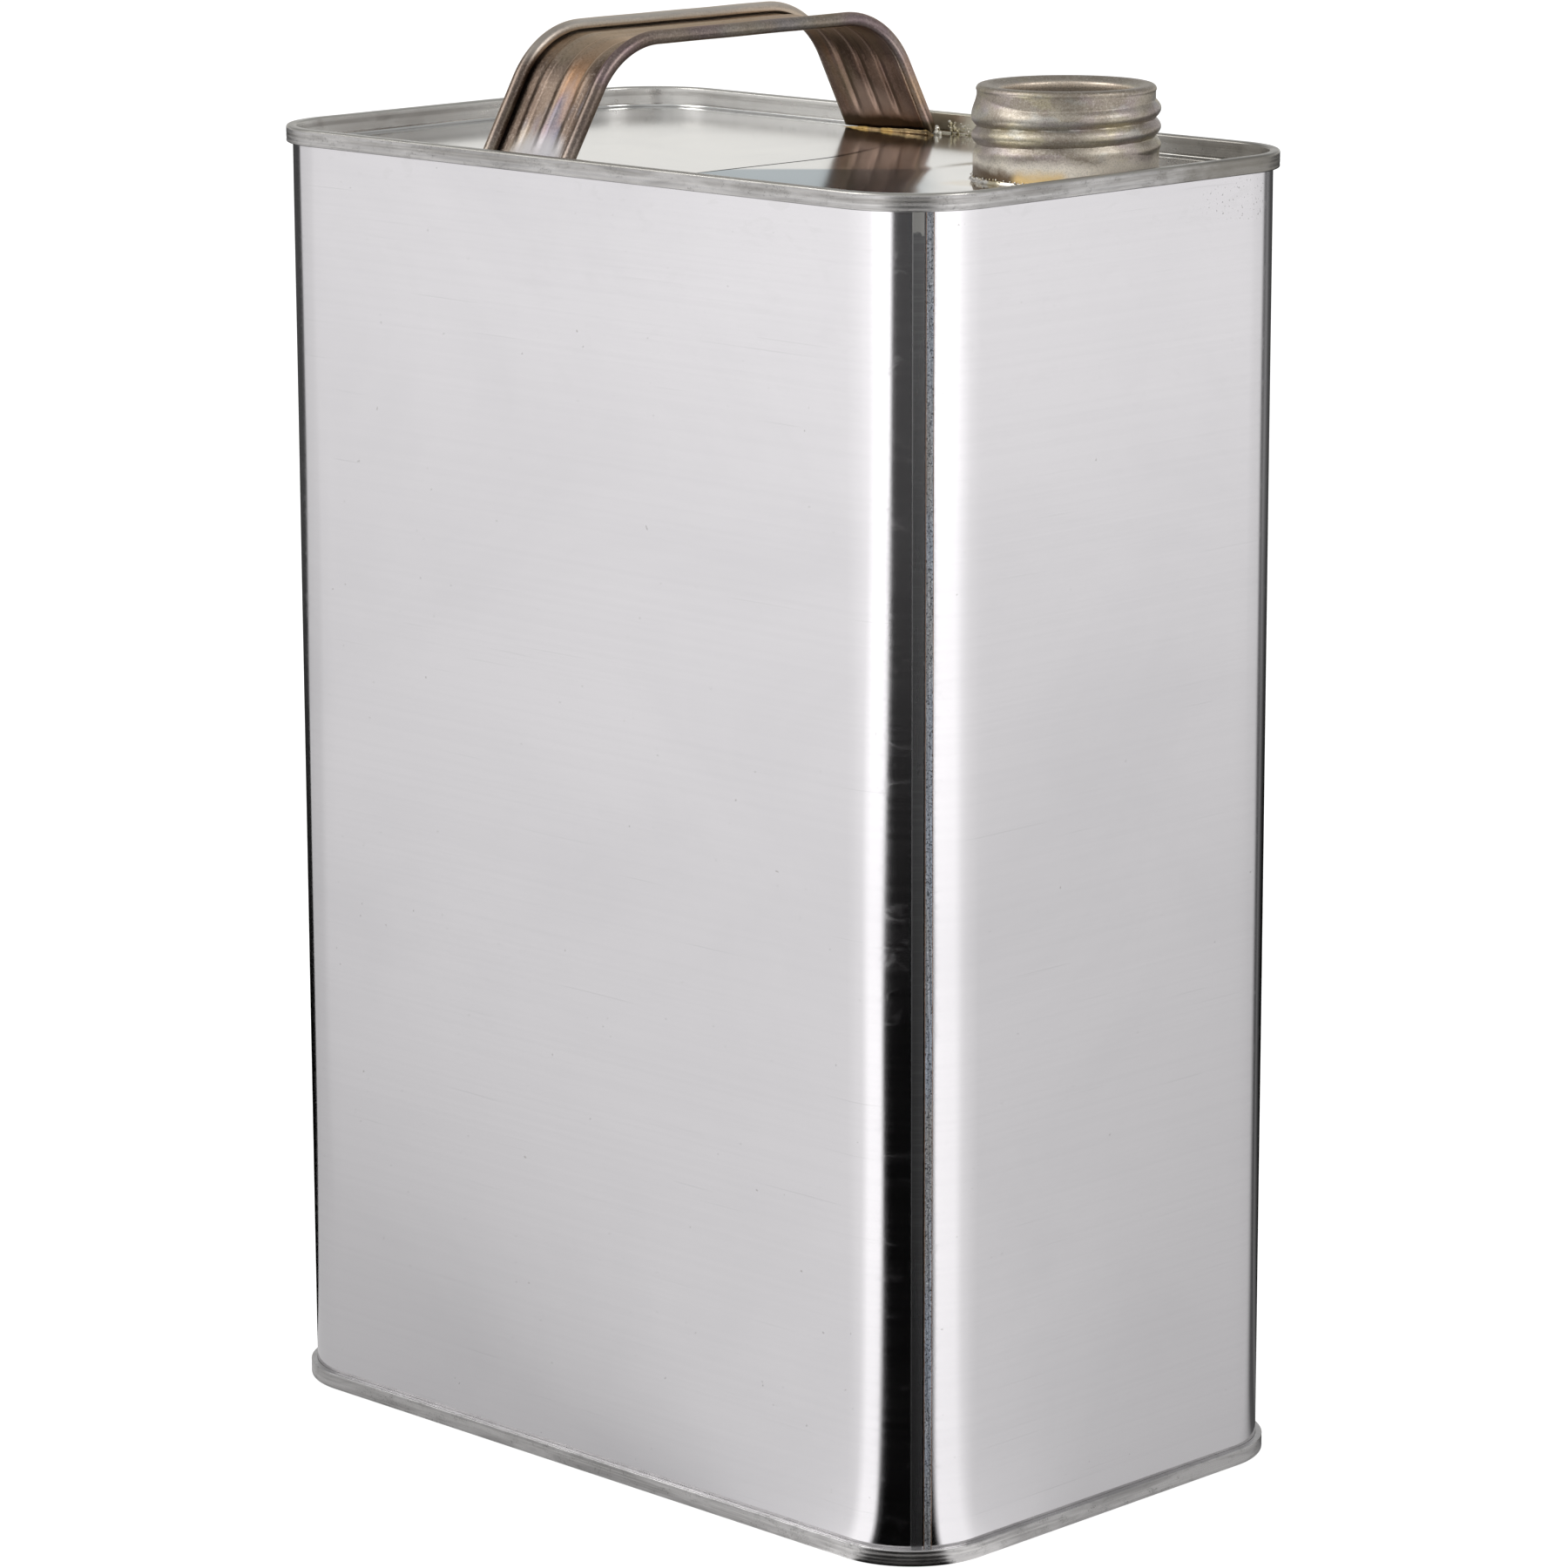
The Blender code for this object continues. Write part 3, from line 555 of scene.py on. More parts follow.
def make_end():
    """One end as a closed sheet, right way up for the top: the seam, the panel and their undersides."""
    reach_x = BODY_HALF_X + SEAM_REACH
    reach_y = BODY_HALF_Y + SEAM_REACH
    foot_z = CAN_HEIGHT - SEAM_HEIGHT + SEAM_FOOT_RADIUS
    piece = start_oblong(reach_x, reach_y, CORNER_RADIUS + SEAM_REACH, foot_z)
    # Outer wall with its shallow roller lines, the rounded rim, the chuck wall and its foot
    wall = SEAM_HEIGHT - SEAM_FOOT_RADIUS - SEAM_EDGE_RADIUS
    sunk = 0
    for share, groove in ROLLER_LINES:
        pull((0, 0, wall * share))
        size = ((reach_x - groove) / (reach_x - sunk), (reach_y - groove) / (reach_y - sunk), 1)
        bpy.ops.transform.resize(value=size, center_override=(0, 0, 0))
        sunk = groove
    roll_edge(SEAM_EDGE_RADIUS, 0, pi / 2, 1)
    inset(SEAM_WIDTH - 2 * SEAM_EDGE_RADIUS)
    roll_edge(SEAM_EDGE_RADIUS, pi / 2, pi, -1)
    chuck = PANEL_DEPTH - SEAM_EDGE_RADIUS - PANEL_EDGE_RADIUS
    inset(CHUCK_DRAFT, -chuck)
    roll_edge(PANEL_EDGE_RADIUS, 0, pi / 2, -1)
    # Underside: the lip rolled in to the body, up inside the seam, and back down to the panel
    pick(piece, "faces", lambda face: face.normal.z < -0.9)
    roll_edge(SEAM_FOOT_RADIUS, 0, pi / 2, 1)
    inset(SEAM_REACH - SEAM_FOOT_RADIUS - LIP_GAP)
    inset(LIP_DRAFT, -(SEAM_HEIGHT - END_SHEET))
    inset(LIP_GAP + SEAM_WIDTH - SEAM_REACH - END_SHEET)
    inset(CHUCK_DRAFT, PANEL_DEPTH - PANEL_EDGE_RADIUS)
    roll_edge(PANEL_EDGE_RADIUS, 0, pi / 2, 1)
    return piece


def cut_grid(cuts_x, cuts_y):
    """Cuts the whole stamping into a grid, so that its panel can be bent a little."""
    for axis, half, cuts in ((0, BODY_HALF_X, cuts_x), (1, BODY_HALF_Y, cuts_y)):
        for cut in range(1, cuts):
            place = [0, 0, 0]
            place[axis] = half * (2 * cut / cuts - 1)
            normal = [0, 0, 0]
            normal[axis] = 1
            select_whole()
            bpy.ops.mesh.bisect(plane_co=place, plane_no=normal)


top_end = make_end()
cut_grid(84, 52)
switch("OBJECT")
panel_half_x = BODY_HALF_X - (SEAM_WIDTH - SEAM_REACH) - PANEL_EDGE_RADIUS
panel_half_y = BODY_HALF_Y - (SEAM_WIDTH - SEAM_REACH) - PANEL_EDGE_RADIUS
for vertex in top_end.data.vertices:
    x, y, z = vertex.co
    if z < PANEL_Z + 0.0001:
        inside = min(panel_half_x - abs(x), panel_half_y - abs(y))
        share = min(max(inside, 0) / PANEL_HOLD, 1)
        vertex.co.z += share * CREASE_RISE * max(1 - abs(x - crease_x(y)) / CREASE_REACH, 0)
        from_neck = hypot(x - NECK_X, y - NECK_Y) - NECK_BASE_RADIUS
        vertex.co.z += share * SWELL_RISE * sin(pi * min(max(from_neck / SWELL_WIDTH, 0), 1)) ** 2
        vertex.co.z += share * PANEL_WAVE * noise.noise(Vector((x, y, 4.0)) / 0.05)
hole_radius = NECK_BASE_RADIUS + NECK_CLEARANCE
hole_place = (NECK_X, NECK_Y, PANEL_Z)
bpy.ops.mesh.primitive_cylinder_add(
    vertices=128, radius=hole_radius, depth=HOLE_TOOL_DEPTH, location=hole_place
)
hole_tool = bpy.context.object
hole = top_end.modifiers.new("neck_hole", "BOOLEAN")
hole.operation = "DIFFERENCE"
hole.object = hole_tool
bpy.context.view_layer.objects.active = top_end
bpy.ops.object.modifier_apply(modifier=hole.name)
bpy.data.objects.remove(hole_tool, do_unlink=True)
handle_low, handle_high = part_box("carry_handle")
strap_x, strap_y = handle_high.xy
# Flux stains on the top: place, reach, stretch, colour and how strongly
TOP_STAINS = (
    ((NECK_X - 0.006, NECK_Y - 0.017, PANEL_Z), 0.009, (1, 1, 1), (0.52, 0.4, 0.2), 0.5),
    ((strap_x - 0.011, strap_y - 0.004, PANEL_Z), 0.015, (0.9, 2.4, 1), (0.38, 0.25, 0.12), 0.6),
    ((strap_x + 0.002, strap_y + 0.003, PANEL_Z + 0.001), 0.013, (0.9, 1.6, 1), (0.64, 0.6, 0.48), 0.75),
    ((BODY_HALF_X - 0.01, 0.042, CAN_HEIGHT - 0.001), 0.052, (1, 1, 1), (0.22, 0.205, 0.18), 0.8),
)
top_look = end_finish("top_end_tinplate", TOP_STAINS)
finish_piece(top_end, "tin_top_end", top_look, "top_end", slot="tinplate_ends")

bottom_end = make_end()
select_whole()
bpy.ops.transform.translate(value=(0, 0, -CAN_HEIGHT))
switch("OBJECT")
bottom_end.rotation_euler.x = pi
bottom_look = end_finish("bottom_end_tinplate", ())
finish_piece(bottom_end, "tin_bottom_end", bottom_look, "bottom_end", slot="tinplate_ends")


# The side seam: the sheet's outer edge lies over the inner one as a thin flat band, and a narrow
# bead of solder runs beside it. The solder froze in fine ripples, so it glitters on the dark corner.
SEAM_CORNER_X = BODY_HALF_X - CORNER_RADIUS
SEAM_CORNER_Y = -(BODY_HALF_Y - CORNER_RADIUS)
LAP_ANGLES = (radians(-46.3), radians(-39.0))
LAP_THICKNESS = 0.00007
BEAD_ANGLES = (radians(-38.3), radians(-33.2))
BEAD_RISE = 0.00009
BEAD_RIPPLE = 0.00009
STRIP_MARGIN = 0.0001


def corner_strip(radius, angles, columns, rows, thickness):
    """A strip up the front right corner: cut out of a cylinder, then given a thickness outward."""
    first, last = angles
    low = SEAM_HEIGHT - STRIP_MARGIN
    high = CAN_HEIGHT - SEAM_HEIGHT + STRIP_MARGIN
    piece = start(
        "cylinder", vertices=round(2 * pi / (last - first) * columns), radius=radius, depth=high - low,
        end_fill_type="NOTHING", location=(SEAM_CORNER_X, SEAM_CORNER_Y, (low + high) / 2),
        rotation=(0, 0, first),
    )

    def outside(face):
        middle = face.calc_center_median()
        return not first < atan2(middle.y - SEAM_CORNER_Y, middle.x - SEAM_CORNER_X) < last

    pick(piece, "faces", outside)
    bpy.ops.mesh.delete(type="FACE")
    divide(piece, lambda edge: edge.calc_length() > CAN_HEIGHT / 2, rows)
    switch("OBJECT")
    thicken(piece, thickness, 1)
    return piece


def strip_edges(finish, angles, low, high):
    """A mask of a strip's two long edges: low and high are shares of its half width."""
    bearing = finish.compass(finish.place((SEAM_CORNER_X, SEAM_CORNER_Y, 0)))
    middle = 0.5 + (angles[0] + angles[1]) / (4 * pi)
    half = (angles[1] - angles[0]) / (4 * pi)
    return finish.spread(finish.apart(bearing, middle), low * half, high * half)


def lap_finish():
    """The sheet's lapped edge: rolled tinplate dulled by the soldering, with fine lines across it."""
    tin = Finish("lapped_tinplate")
    lines = tin.grain(1, (30, 30, 2200), detail=4, rough=0.7)
    film = tin.grain(1, (120, 120, 9), detail=4, rough=0.6)
    tin.start_tone(film, 0.35, 0.7, (0.3, 0.3, 0.31), (0.21, 0.21, 0.22))
    tin.lay((0.5, 0.5, 0.52), 0.25, lines, 0.45, 0.7)
    # Its two cut edges are painted light, a painted highlight, and its top is smeared with grey flux
    tin.lay((0.72, 0.72, 0.74), 0.8, strip_edges(tin, LAP_ANGLES, 0.88, 0.95))
    ragged = tin.plus(tin.axes()["Z"], tin.times(tin.grain(700), 0.004))
    tin.lay((0.8, 0.79, 0.76), 0.7, ragged, CAN_HEIGHT - 0.0048, CAN_HEIGHT - 0.0042)
    return tin.done(tin.spread(film, 0.3, 0.7, 0.26, 0.31), lines, 0.000015, 0.4)


def bead_finish():
    """Frozen solder with heat tints: blue-grey, with dark pits, bright grains and brown specks."""
    solder = Finish("seam_solder")
    pits = solder.grain(2900, (1, 1, 0.8), rough=0.7)
    tint = solder.grain(240, (1, 1, 0.12))
    solder.start_tone(tint, 0.4, 0.64, (0.34, 0.38, 0.45), (0.33, 0.32, 0.31))
    solder.lay((0.06, 0.065, 0.075), 1.0, pits, 0.5, 0.64)
    solder.lay((0.8, 0.82, 0.86), 0.6, solder.grain(4200, (1, 1, 0.9), detail=2), 0.56, 0.7)
    # Burnt flux along both edges of the bead
    solder.lay((0.3, 0.17, 0.1), 0.75, strip_edges(solder, BEAD_ANGLES, 0.72, 0.92))
    return solder.done(solder.spread(pits, 0.3, 0.7, 0.36, 0.5), pits, 0.0001, 0.9)


lap = corner_strip(CORNER_RADIUS - LAP_THICKNESS / 4, LAP_ANGLES, 8, 1, LAP_THICKNESS)
finish_piece(lap, "side_seam_lap", lap_finish(), slot="tinplate_body")

bead = corner_strip(CORNER_RADIUS - BEAD_RISE / 4, BEAD_ANGLES, 14, 900, BEAD_RISE)
for vertex in bead.data.vertices:
    across = Vector((vertex.co.x - SEAM_CORNER_X, vertex.co.y - SEAM_CORNER_Y, 0))
    if across.length > CORNER_RADIUS:
        angle = atan2(across.y, across.x)
        share = (angle - BEAD_ANGLES[0]) / (BEAD_ANGLES[1] - BEAD_ANGLES[0])
        crown = 1 - (2 * share - 1) ** 4
        ripple = noise.noise(vertex.co / 0.0005) + 0.6 * noise.noise(vertex.co / 0.0002)
        vertex.co += across.normalized() * crown * BEAD_RIPPLE * ripple
finish_piece(bead, "side_seam_bead", bead_finish(), "side_seam_solder", slot="solder", sharp=70)


# The pouring neck: drawn tinplate with a rolled thread, a beaded rim turned in to the mouth, and a
# flange under the panel. Soldering has left it a grainy bronze, with a golden flux stain at its foot.
NECK_TOP = neck_high.z - PANEL_Z
NECK_SHEET = 0.0004
NECK_SIDES = 216
NECK_ROWS = 96
NECK_ROOT_RADIUS = 0.0157
RIM_RADIUS = 0.01585
RIM_EDGE_RADIUS = 0.0009
RIM_UNDERCUT = 0.00032
RIM_UNDERCUT_DEPTH = 0.0004
RIM_GROOVE = 0.0027
RIM_GROOVE_CUT = 0.0003
RIM_STEPS = 8
THREAD_PITCH = 0.003175
THREAD_HEIGHT = 0.00095
THREAD_HALF_WIDTH = 0.00155
THREAD_TOP = 0.0035
THREAD_START = radians(120)
THREAD_TURNS = 2.44
THREAD_FADE = 0.15
THREAD_SHOULDER = 0.0016
FLANGE_DROP = 0.00055
FLANGE_RADIUS = 0.01935
NECK_DENT = 0.00003
# Where the flux browned the foot of the neck: place, reach, colour and how strongly
NECK_STAINS = (
    ((NECK_X - 0.006, NECK_Y - 0.015, PANEL_Z + 0.001), 0.016, (0.16, 0.11, 0.07), 0.95),
    ((NECK_X + 0.007, NECK_Y - 0.0148, PANEL_Z + 0.001), 0.0075, (0.96, 0.7, 0.33), 0.9),
)
# The rim's flat and its slope down to the rolled lip of the mouth, as radius and height
MOUTH_STEPS = (
    (0.01405, 0.0), (0.01385, -0.00004), (0.01365, -0.00012), (0.01205, -0.00068), (0.0118, -0.0008),
    (0.01163, -0.00098), (0.01155, -0.00122), (0.01158, -0.002), (0.01175, -0.003), (0.01178, -0.0042),
)


def smooth(value):
    share = min(max(value, 0), 1)
    return share * share * (3 - 2 * share)


def wall_radius(angle, z):
    """The neck's radius without its thread, by bearing and height over the panel."""
    depth = NECK_TOP - z
    below_edge = max(depth - RIM_EDGE_RADIUS, 0) / RIM_GROOVE
    if below_edge < 1:
        undercut = RIM_UNDERCUT * smooth((depth - RIM_EDGE_RADIUS) / RIM_UNDERCUT_DEPTH)
        undercut += (RIM_RADIUS - NECK_ROOT_RADIUS - RIM_UNDERCUT) * smooth(below_edge)
        return RIM_RADIUS - undercut - RIM_GROOVE_CUT * sin(pi * below_edge) ** 2
    # The plain foot of the neck starts below the thread, and its top edge follows the thread round
    turned = (THREAD_START - angle) / (2 * pi) % 1
    turned *= 1 - smooth((turned - 0.8) / 0.2)
    foot_depth = THREAD_TOP + (2 + turned) * THREAD_PITCH
    widened = 1 - min(max((foot_depth - depth) / THREAD_HALF_WIDTH, 0), 1)
    return NECK_ROOT_RADIUS + (NECK_BASE_RADIUS - NECK_ROOT_RADIUS) * sin(pi / 2 * widened)


def thread_rise(angle, z):
    """How far the rolled thread stands out: a right-handed ridge that fades at both its ends."""
    tallest = 0
    for turn in range(-1, 4):
        along = turn + (THREAD_START - angle) / (2 * pi)
        crest = THREAD_TOP + along * THREAD_PITCH
        above = crest - (NECK_TOP - z)
        reach = THREAD_HALF_WIDTH
        # On the can's left the first turn's upper flank is a long cone from just under the rim
        if above > 0:
            conical = smooth((along - 0.5) / 0.2) * smooth((1 - along) / THREAD_FADE)
            reach += max(crest - THREAD_SHOULDER - THREAD_HALF_WIDTH, 0) * conical
        fade = min(along, THREAD_TURNS - along) / THREAD_FADE
        if abs(above) < reach and fade > 0:
            profile = cos(pi / 2 * above / reach) ** (reach / THREAD_HALF_WIDTH) ** 0.5
            tallest = max(tallest, THREAD_HEIGHT * min(fade, 1) * profile)
    return tallest


def step_ring(radius, after, rise):
    """Extrudes the selected ring round the neck's axis to another radius and height."""
    pull((0, 0, rise))
    share = after / radius
    bpy.ops.transform.resize(value=(share, share, 1), center_override=(NECK_X, NECK_Y, 0))


def neck_finish():
    """Satin tinplate tinted by heat: warm grey with gritty pits, pale flecks and faint oily colours."""
    tin = Finish("satin_neck_tinplate")
    grit = tin.grain(3600, detail=4, rough=0.75)
    fleck = tin.grain(2400, rough=0.7, centre=(0.1, 0, 0))
    cloud = tin.grain(150, (1, 1, 1.8), detail=5, rough=0.6, warp=0.5)
    tin.start_tone(cloud, 0.36, 0.66, (0.47, 0.42, 0.35), (0.32, 0.275, 0.23))
    for offset, low, amount, colour in (
        (0.2, 0.54, 0.45, (0.55, 0.5, 0.33)),
        (0.3, 0.56, 0.4, (0.5, 0.52, 0.52)),
        (0.4, 0.52, 0.4, (0.47, 0.39, 0.42)),
    ):
        tin.lay(colour, amount, tin.grain(120, (1, 1, 2.2), centre=(0, offset, 0)), low, low + 0.1)
    height = tin.axes((0, 0, PANEL_Z))["Z"]
    # Below the thread the foot of the neck is painted near-white, a painted reflection
    base = tin.spread(tin.plus(height, tin.times(cloud, 0.003)), 0.0046, 0.0072)
    tin.lay((0.98, 0.91, 0.81), 1.0, tin.minus(0.92, base, clamp=True))
    tin.lay((0.24, 0.2, 0.155), 0.65, height, NECK_TOP - 0.0009, NECK_TOP - 0.0003)
    # Inside the mouth the lip and the wall within it are painted pale, painted light
    from_axis = tin.length(tin.place((NECK_X, NECK_Y, 0), (1, 1, 0)))
    tin.lay((0.95, 0.8, 0.65), 0.55, from_axis, 0.0121, 0.0116)
    tin.lay((0.74, 0.69, 0.61), 0.35, fleck, 0.48, 0.68)
    tin.lay((0.2, 0.17, 0.135), tin.spread(base, 0.0, 1.0, 0.3, 0.5), grit, 0.46, 0.64)
    pits = tin.times(tin.spread(fleck, 0.36, 0.3), tin.spread(cloud, 0.4, 0.6))
    tin.lay((0.13, 0.11, 0.09), 0.6, pits)
    foot = tin.spread(tin.plus(height, tin.times(cloud, 0.004)), 0.003, 0.0056, 1.0, 0.0)
    for centre, reach, colour, amount in NECK_STAINS:
        tin.lay(colour, amount, tin.times(foot, tin.spread(tin.near(centre, reach), 0.1, 0.5)))
    return tin.done(tin.spread(grit, 0.3, 0.7, 0.36, 0.5), grit, 0.00004, 0.8)


wall_top = NECK_TOP - RIM_EDGE_RADIUS
neck = start(
    "cylinder", vertices=NECK_SIDES, radius=NECK_BASE_RADIUS, depth=wall_top + FLANGE_DROP,
    end_fill_type="NOTHING", location=(NECK_X, NECK_Y, PANEL_Z + (wall_top - FLANGE_DROP) / 2),
)
divide(neck, lambda edge: edge.calc_length() > wall_top / 2, NECK_ROWS)
pick(neck, "verts", lambda vertex: vertex.co.z > PANEL_Z + wall_top - 0.00001)
ring_radius = NECK_BASE_RADIUS
for step in range(1, RIM_STEPS + 1):
    angle = pi / 2 * step / RIM_STEPS
    before = pi / 2 * (step - 1) / RIM_STEPS
    target = NECK_BASE_RADIUS - RIM_EDGE_RADIUS * (1 - cos(angle))
    step_ring(ring_radius, target, RIM_EDGE_RADIUS * (sin(angle) - sin(before)))
    ring_radius = target
switch("OBJECT")
for vertex in neck.data.vertices:
    out = Vector((vertex.co.x - NECK_X, vertex.co.y - NECK_Y, 0))
    z = vertex.co.z - PANEL_Z
    angle = atan2(out.y, out.x)
    plain = wall_radius(angle, z)
    out_by = out.length - NECK_BASE_RADIUS + max(plain, NECK_ROOT_RADIUS + thread_rise(angle, z))
    dent = NECK_DENT * noise.noise(vertex.co / 0.004)
    vertex.co.x = NECK_X + (out_by + dent) * cos(angle)
    vertex.co.y = NECK_Y + (out_by + dent) * sin(angle)
switch("EDIT")
pick(neck, "verts", lambda vertex: vertex.co.z > PANEL_Z + NECK_TOP - 0.00001)
ring_radius = RIM_RADIUS - RIM_EDGE_RADIUS
ring_z = 0
for radius, z in MOUTH_STEPS:
    step_ring(ring_radius, radius, z - ring_z)
    ring_radius, ring_z = radius, z
pick(neck, "verts", lambda vertex: vertex.co.z < PANEL_Z - FLANGE_DROP + 0.00001)
step_ring(NECK_BASE_RADIUS, hole_radius, 0)
step_ring(hole_radius, FLANGE_RADIUS, 0)
face_outward()
switch("OBJECT")
thicken(neck, NECK_SHEET, -1)
finish_piece(neck, "pouring_neck", neck_finish(), "screw_neck", slot="tinplate_neck", sharp=50)


# The neck's solder: a small uneven fillet run round its foot on the panel, with flux burnt on to it.
NECK_FILLET_WIDTH = 0.001
NECK_FILLET_HEIGHT = 0.0008
BAR_RADIUS = 0.001
DROP_LUMP = 0.00005
SEAT = 0.00005


def fillet_place(across, up, width, height):
    """Turns a place in a round bar's section into one in a hollow-faced fillet's section."""
    out = (across + 1) / 2
    rise = (up + 1) / 2
    return width * out * (1 - 0.6 * rise), 1.3 * height * rise * (1 - 0.85 * out)


def solder_finish(name, tin_tone, flux_from, flux_tone):
    """Soft solder, satin and lumpy, under patches of glassy flux with brown burnt spots."""
    solder = Finish(name, metallic=0.9)
    lump = solder.grain(900, rough=0.6)
    flux = solder.grain(330, (0.6, 1, 1), detail=4, warp=0.4)
    burnt = solder.grain(420, (0.5, 1, 1), centre=(0.1, 0, 0))
    solder.start_tone(lump, 0.3, 0.7, tin_tone, [share * 0.62 for share in tin_tone])
    solder.lay(flux_tone, 0.85, flux, flux_from, flux_from + 0.12)
    solder.lay((0.11, 0.075, 0.035), 0.8, burnt, 0.54, 0.64)
    solder.set(Coat_Weight=0.35, Coat_Roughness=0.15)
    return solder.done(solder.spread(lump, 0.3, 0.7, 0.26, 0.4), lump, 0.00005, 0.6)


def solder_drops(name, seed, finish, places):
    """A spatter of frozen drops: small spheres, each pushed a little out of round."""
    chance = Random(seed)
    # noise_vector starts from a place that changes from run to run unless it is given one
    noise.seed_set(seed)
    piece = None
    for centre, radius in places(chance):
        settings = {"subdivisions": 3, "radius": radius, "location": centre}
        if piece is None:
            piece = start("ico_sphere", **settings)
        else:
            bpy.ops.mesh.primitive_ico_sphere_add(**settings)
    switch("OBJECT")
    for vertex in piece.data.vertices:
        vertex.co += DROP_LUMP * noise.noise_vector(vertex.co / 0.0006)
    finish_piece(piece, name, finish, slot="solder", sharp=80)


neck_solder_look = solder_finish("neck_solder", (0.84, 0.81, 0.75), 0.54, (0.5, 0.43, 0.27))
ring = start(
    "torus", major_radius=NECK_BASE_RADIUS, minor_radius=BAR_RADIUS, major_segments=320,
    minor_segments=18, location=(NECK_X, NECK_Y, PANEL_Z),
)
switch("OBJECT")
for vertex in ring.data.vertices:
    x, y = vertex.co.x - NECK_X, vertex.co.y - NECK_Y
    angle = atan2(y, x)
    lump = 1 + 0.3 * noise.noise(Vector((cos(angle), sin(angle), 2.0)) * 9)
    lump += 0.12 * noise.noise(Vector((cos(angle), sin(angle), 5.0)) * 31)
    across = (hypot(x, y) - NECK_BASE_RADIUS) / BAR_RADIUS
    up = (vertex.co.z - PANEL_Z) / BAR_RADIUS
    out, rise = fillet_place(across, up, NECK_FILLET_WIDTH * lump, NECK_FILLET_HEIGHT * lump)
    reach = NECK_BASE_RADIUS - SEAT + out
    vertex.co = (NECK_X + reach * cos(angle), NECK_Y + reach * sin(angle), PANEL_Z - SEAT + rise)
finish_piece(ring, "neck_solder", neck_solder_look, "neck_solder_ring", slot="solder", sharp=60)


def round_neck(chance):
    """Beads that boiled out along the front left of the fillet."""
    for step in range(26):
        angle = radians(-150 + 90 * (step + chance.uniform(-0.4, 0.4)) / 26)
        reach = NECK_BASE_RADIUS + chance.uniform(0.0001, 0.0003)
        rise = chance.uniform(0.0005, 0.001)
        centre = (NECK_X + reach * cos(angle), NECK_Y + reach * sin(angle), PANEL_Z + rise)
        yield centre, chance.uniform(0.00012, 0.00022)


solder_drops("neck_solder_beads", 3, neck_solder_look, round_neck)


# The carrying handle: one strap of thin steel with its long edges rolled into tubes and three beads
# pressed along its web, bent to an arch. Its feet were soldered hot, which tinted the steel bronze.
HANDLE_X = (handle_low.x + handle_high.x) / 2
HANDLE_WIDTH = handle_high.x - handle_low.x
HANDLE_SHEET = 0.00045
HANDLE_EDGE_TINT = (0.95, 0.82, 0.69, 1.0)
CURL_RADIUS = 0.0013
ROLL_RADIUS = CURL_RADIUS - HANDLE_SHEET / 2
ROLL_CENTRE = HANDLE_WIDTH / 2 - CURL_RADIUS
ROLL_END = radians(195)
HANDLE_TILT = radians(2.1)
HANDLE_WAVE = 0.00006
CROWN_Z = handle_high.z - PANEL_Z - CURL_RADIUS - ROLL_CENTRE * tan(HANDLE_TILT) - HANDLE_WAVE
BEND_RADIUS = 0.0175
FOOT_GAP = 0.0003
# Each leg: its side, where its foot stands and how far it leans
REAR_LEG = (1, 0.04687, radians(28.5))
FRONT_LEG = (-1, 0.04783, radians(31.4))
WEB_STEPS = 36
BEAD_SPACING = 0.0052
BEAD_WIDTH = 0.0024
BEAD_HEIGHT = 0.00026
BEAD_FLANK = 0.0008
BEAD_STOP_SHARE = 0.2
BEAD_FULL_SHARE = 0.5
CROWN_STEPS = 12
BEND_STEPS = 32
LEG_STEPS = 22


def pressed_rise(x):
    """How far a pressed bead stands out of the strap's web, at a distance from its middle."""
    across = min(abs(x), abs(abs(x) - BEAD_SPACING)) / (BEAD_WIDTH / 2)
    return BEAD_HEIGHT * (1 + cos(pi * min(across, 1))) / 2


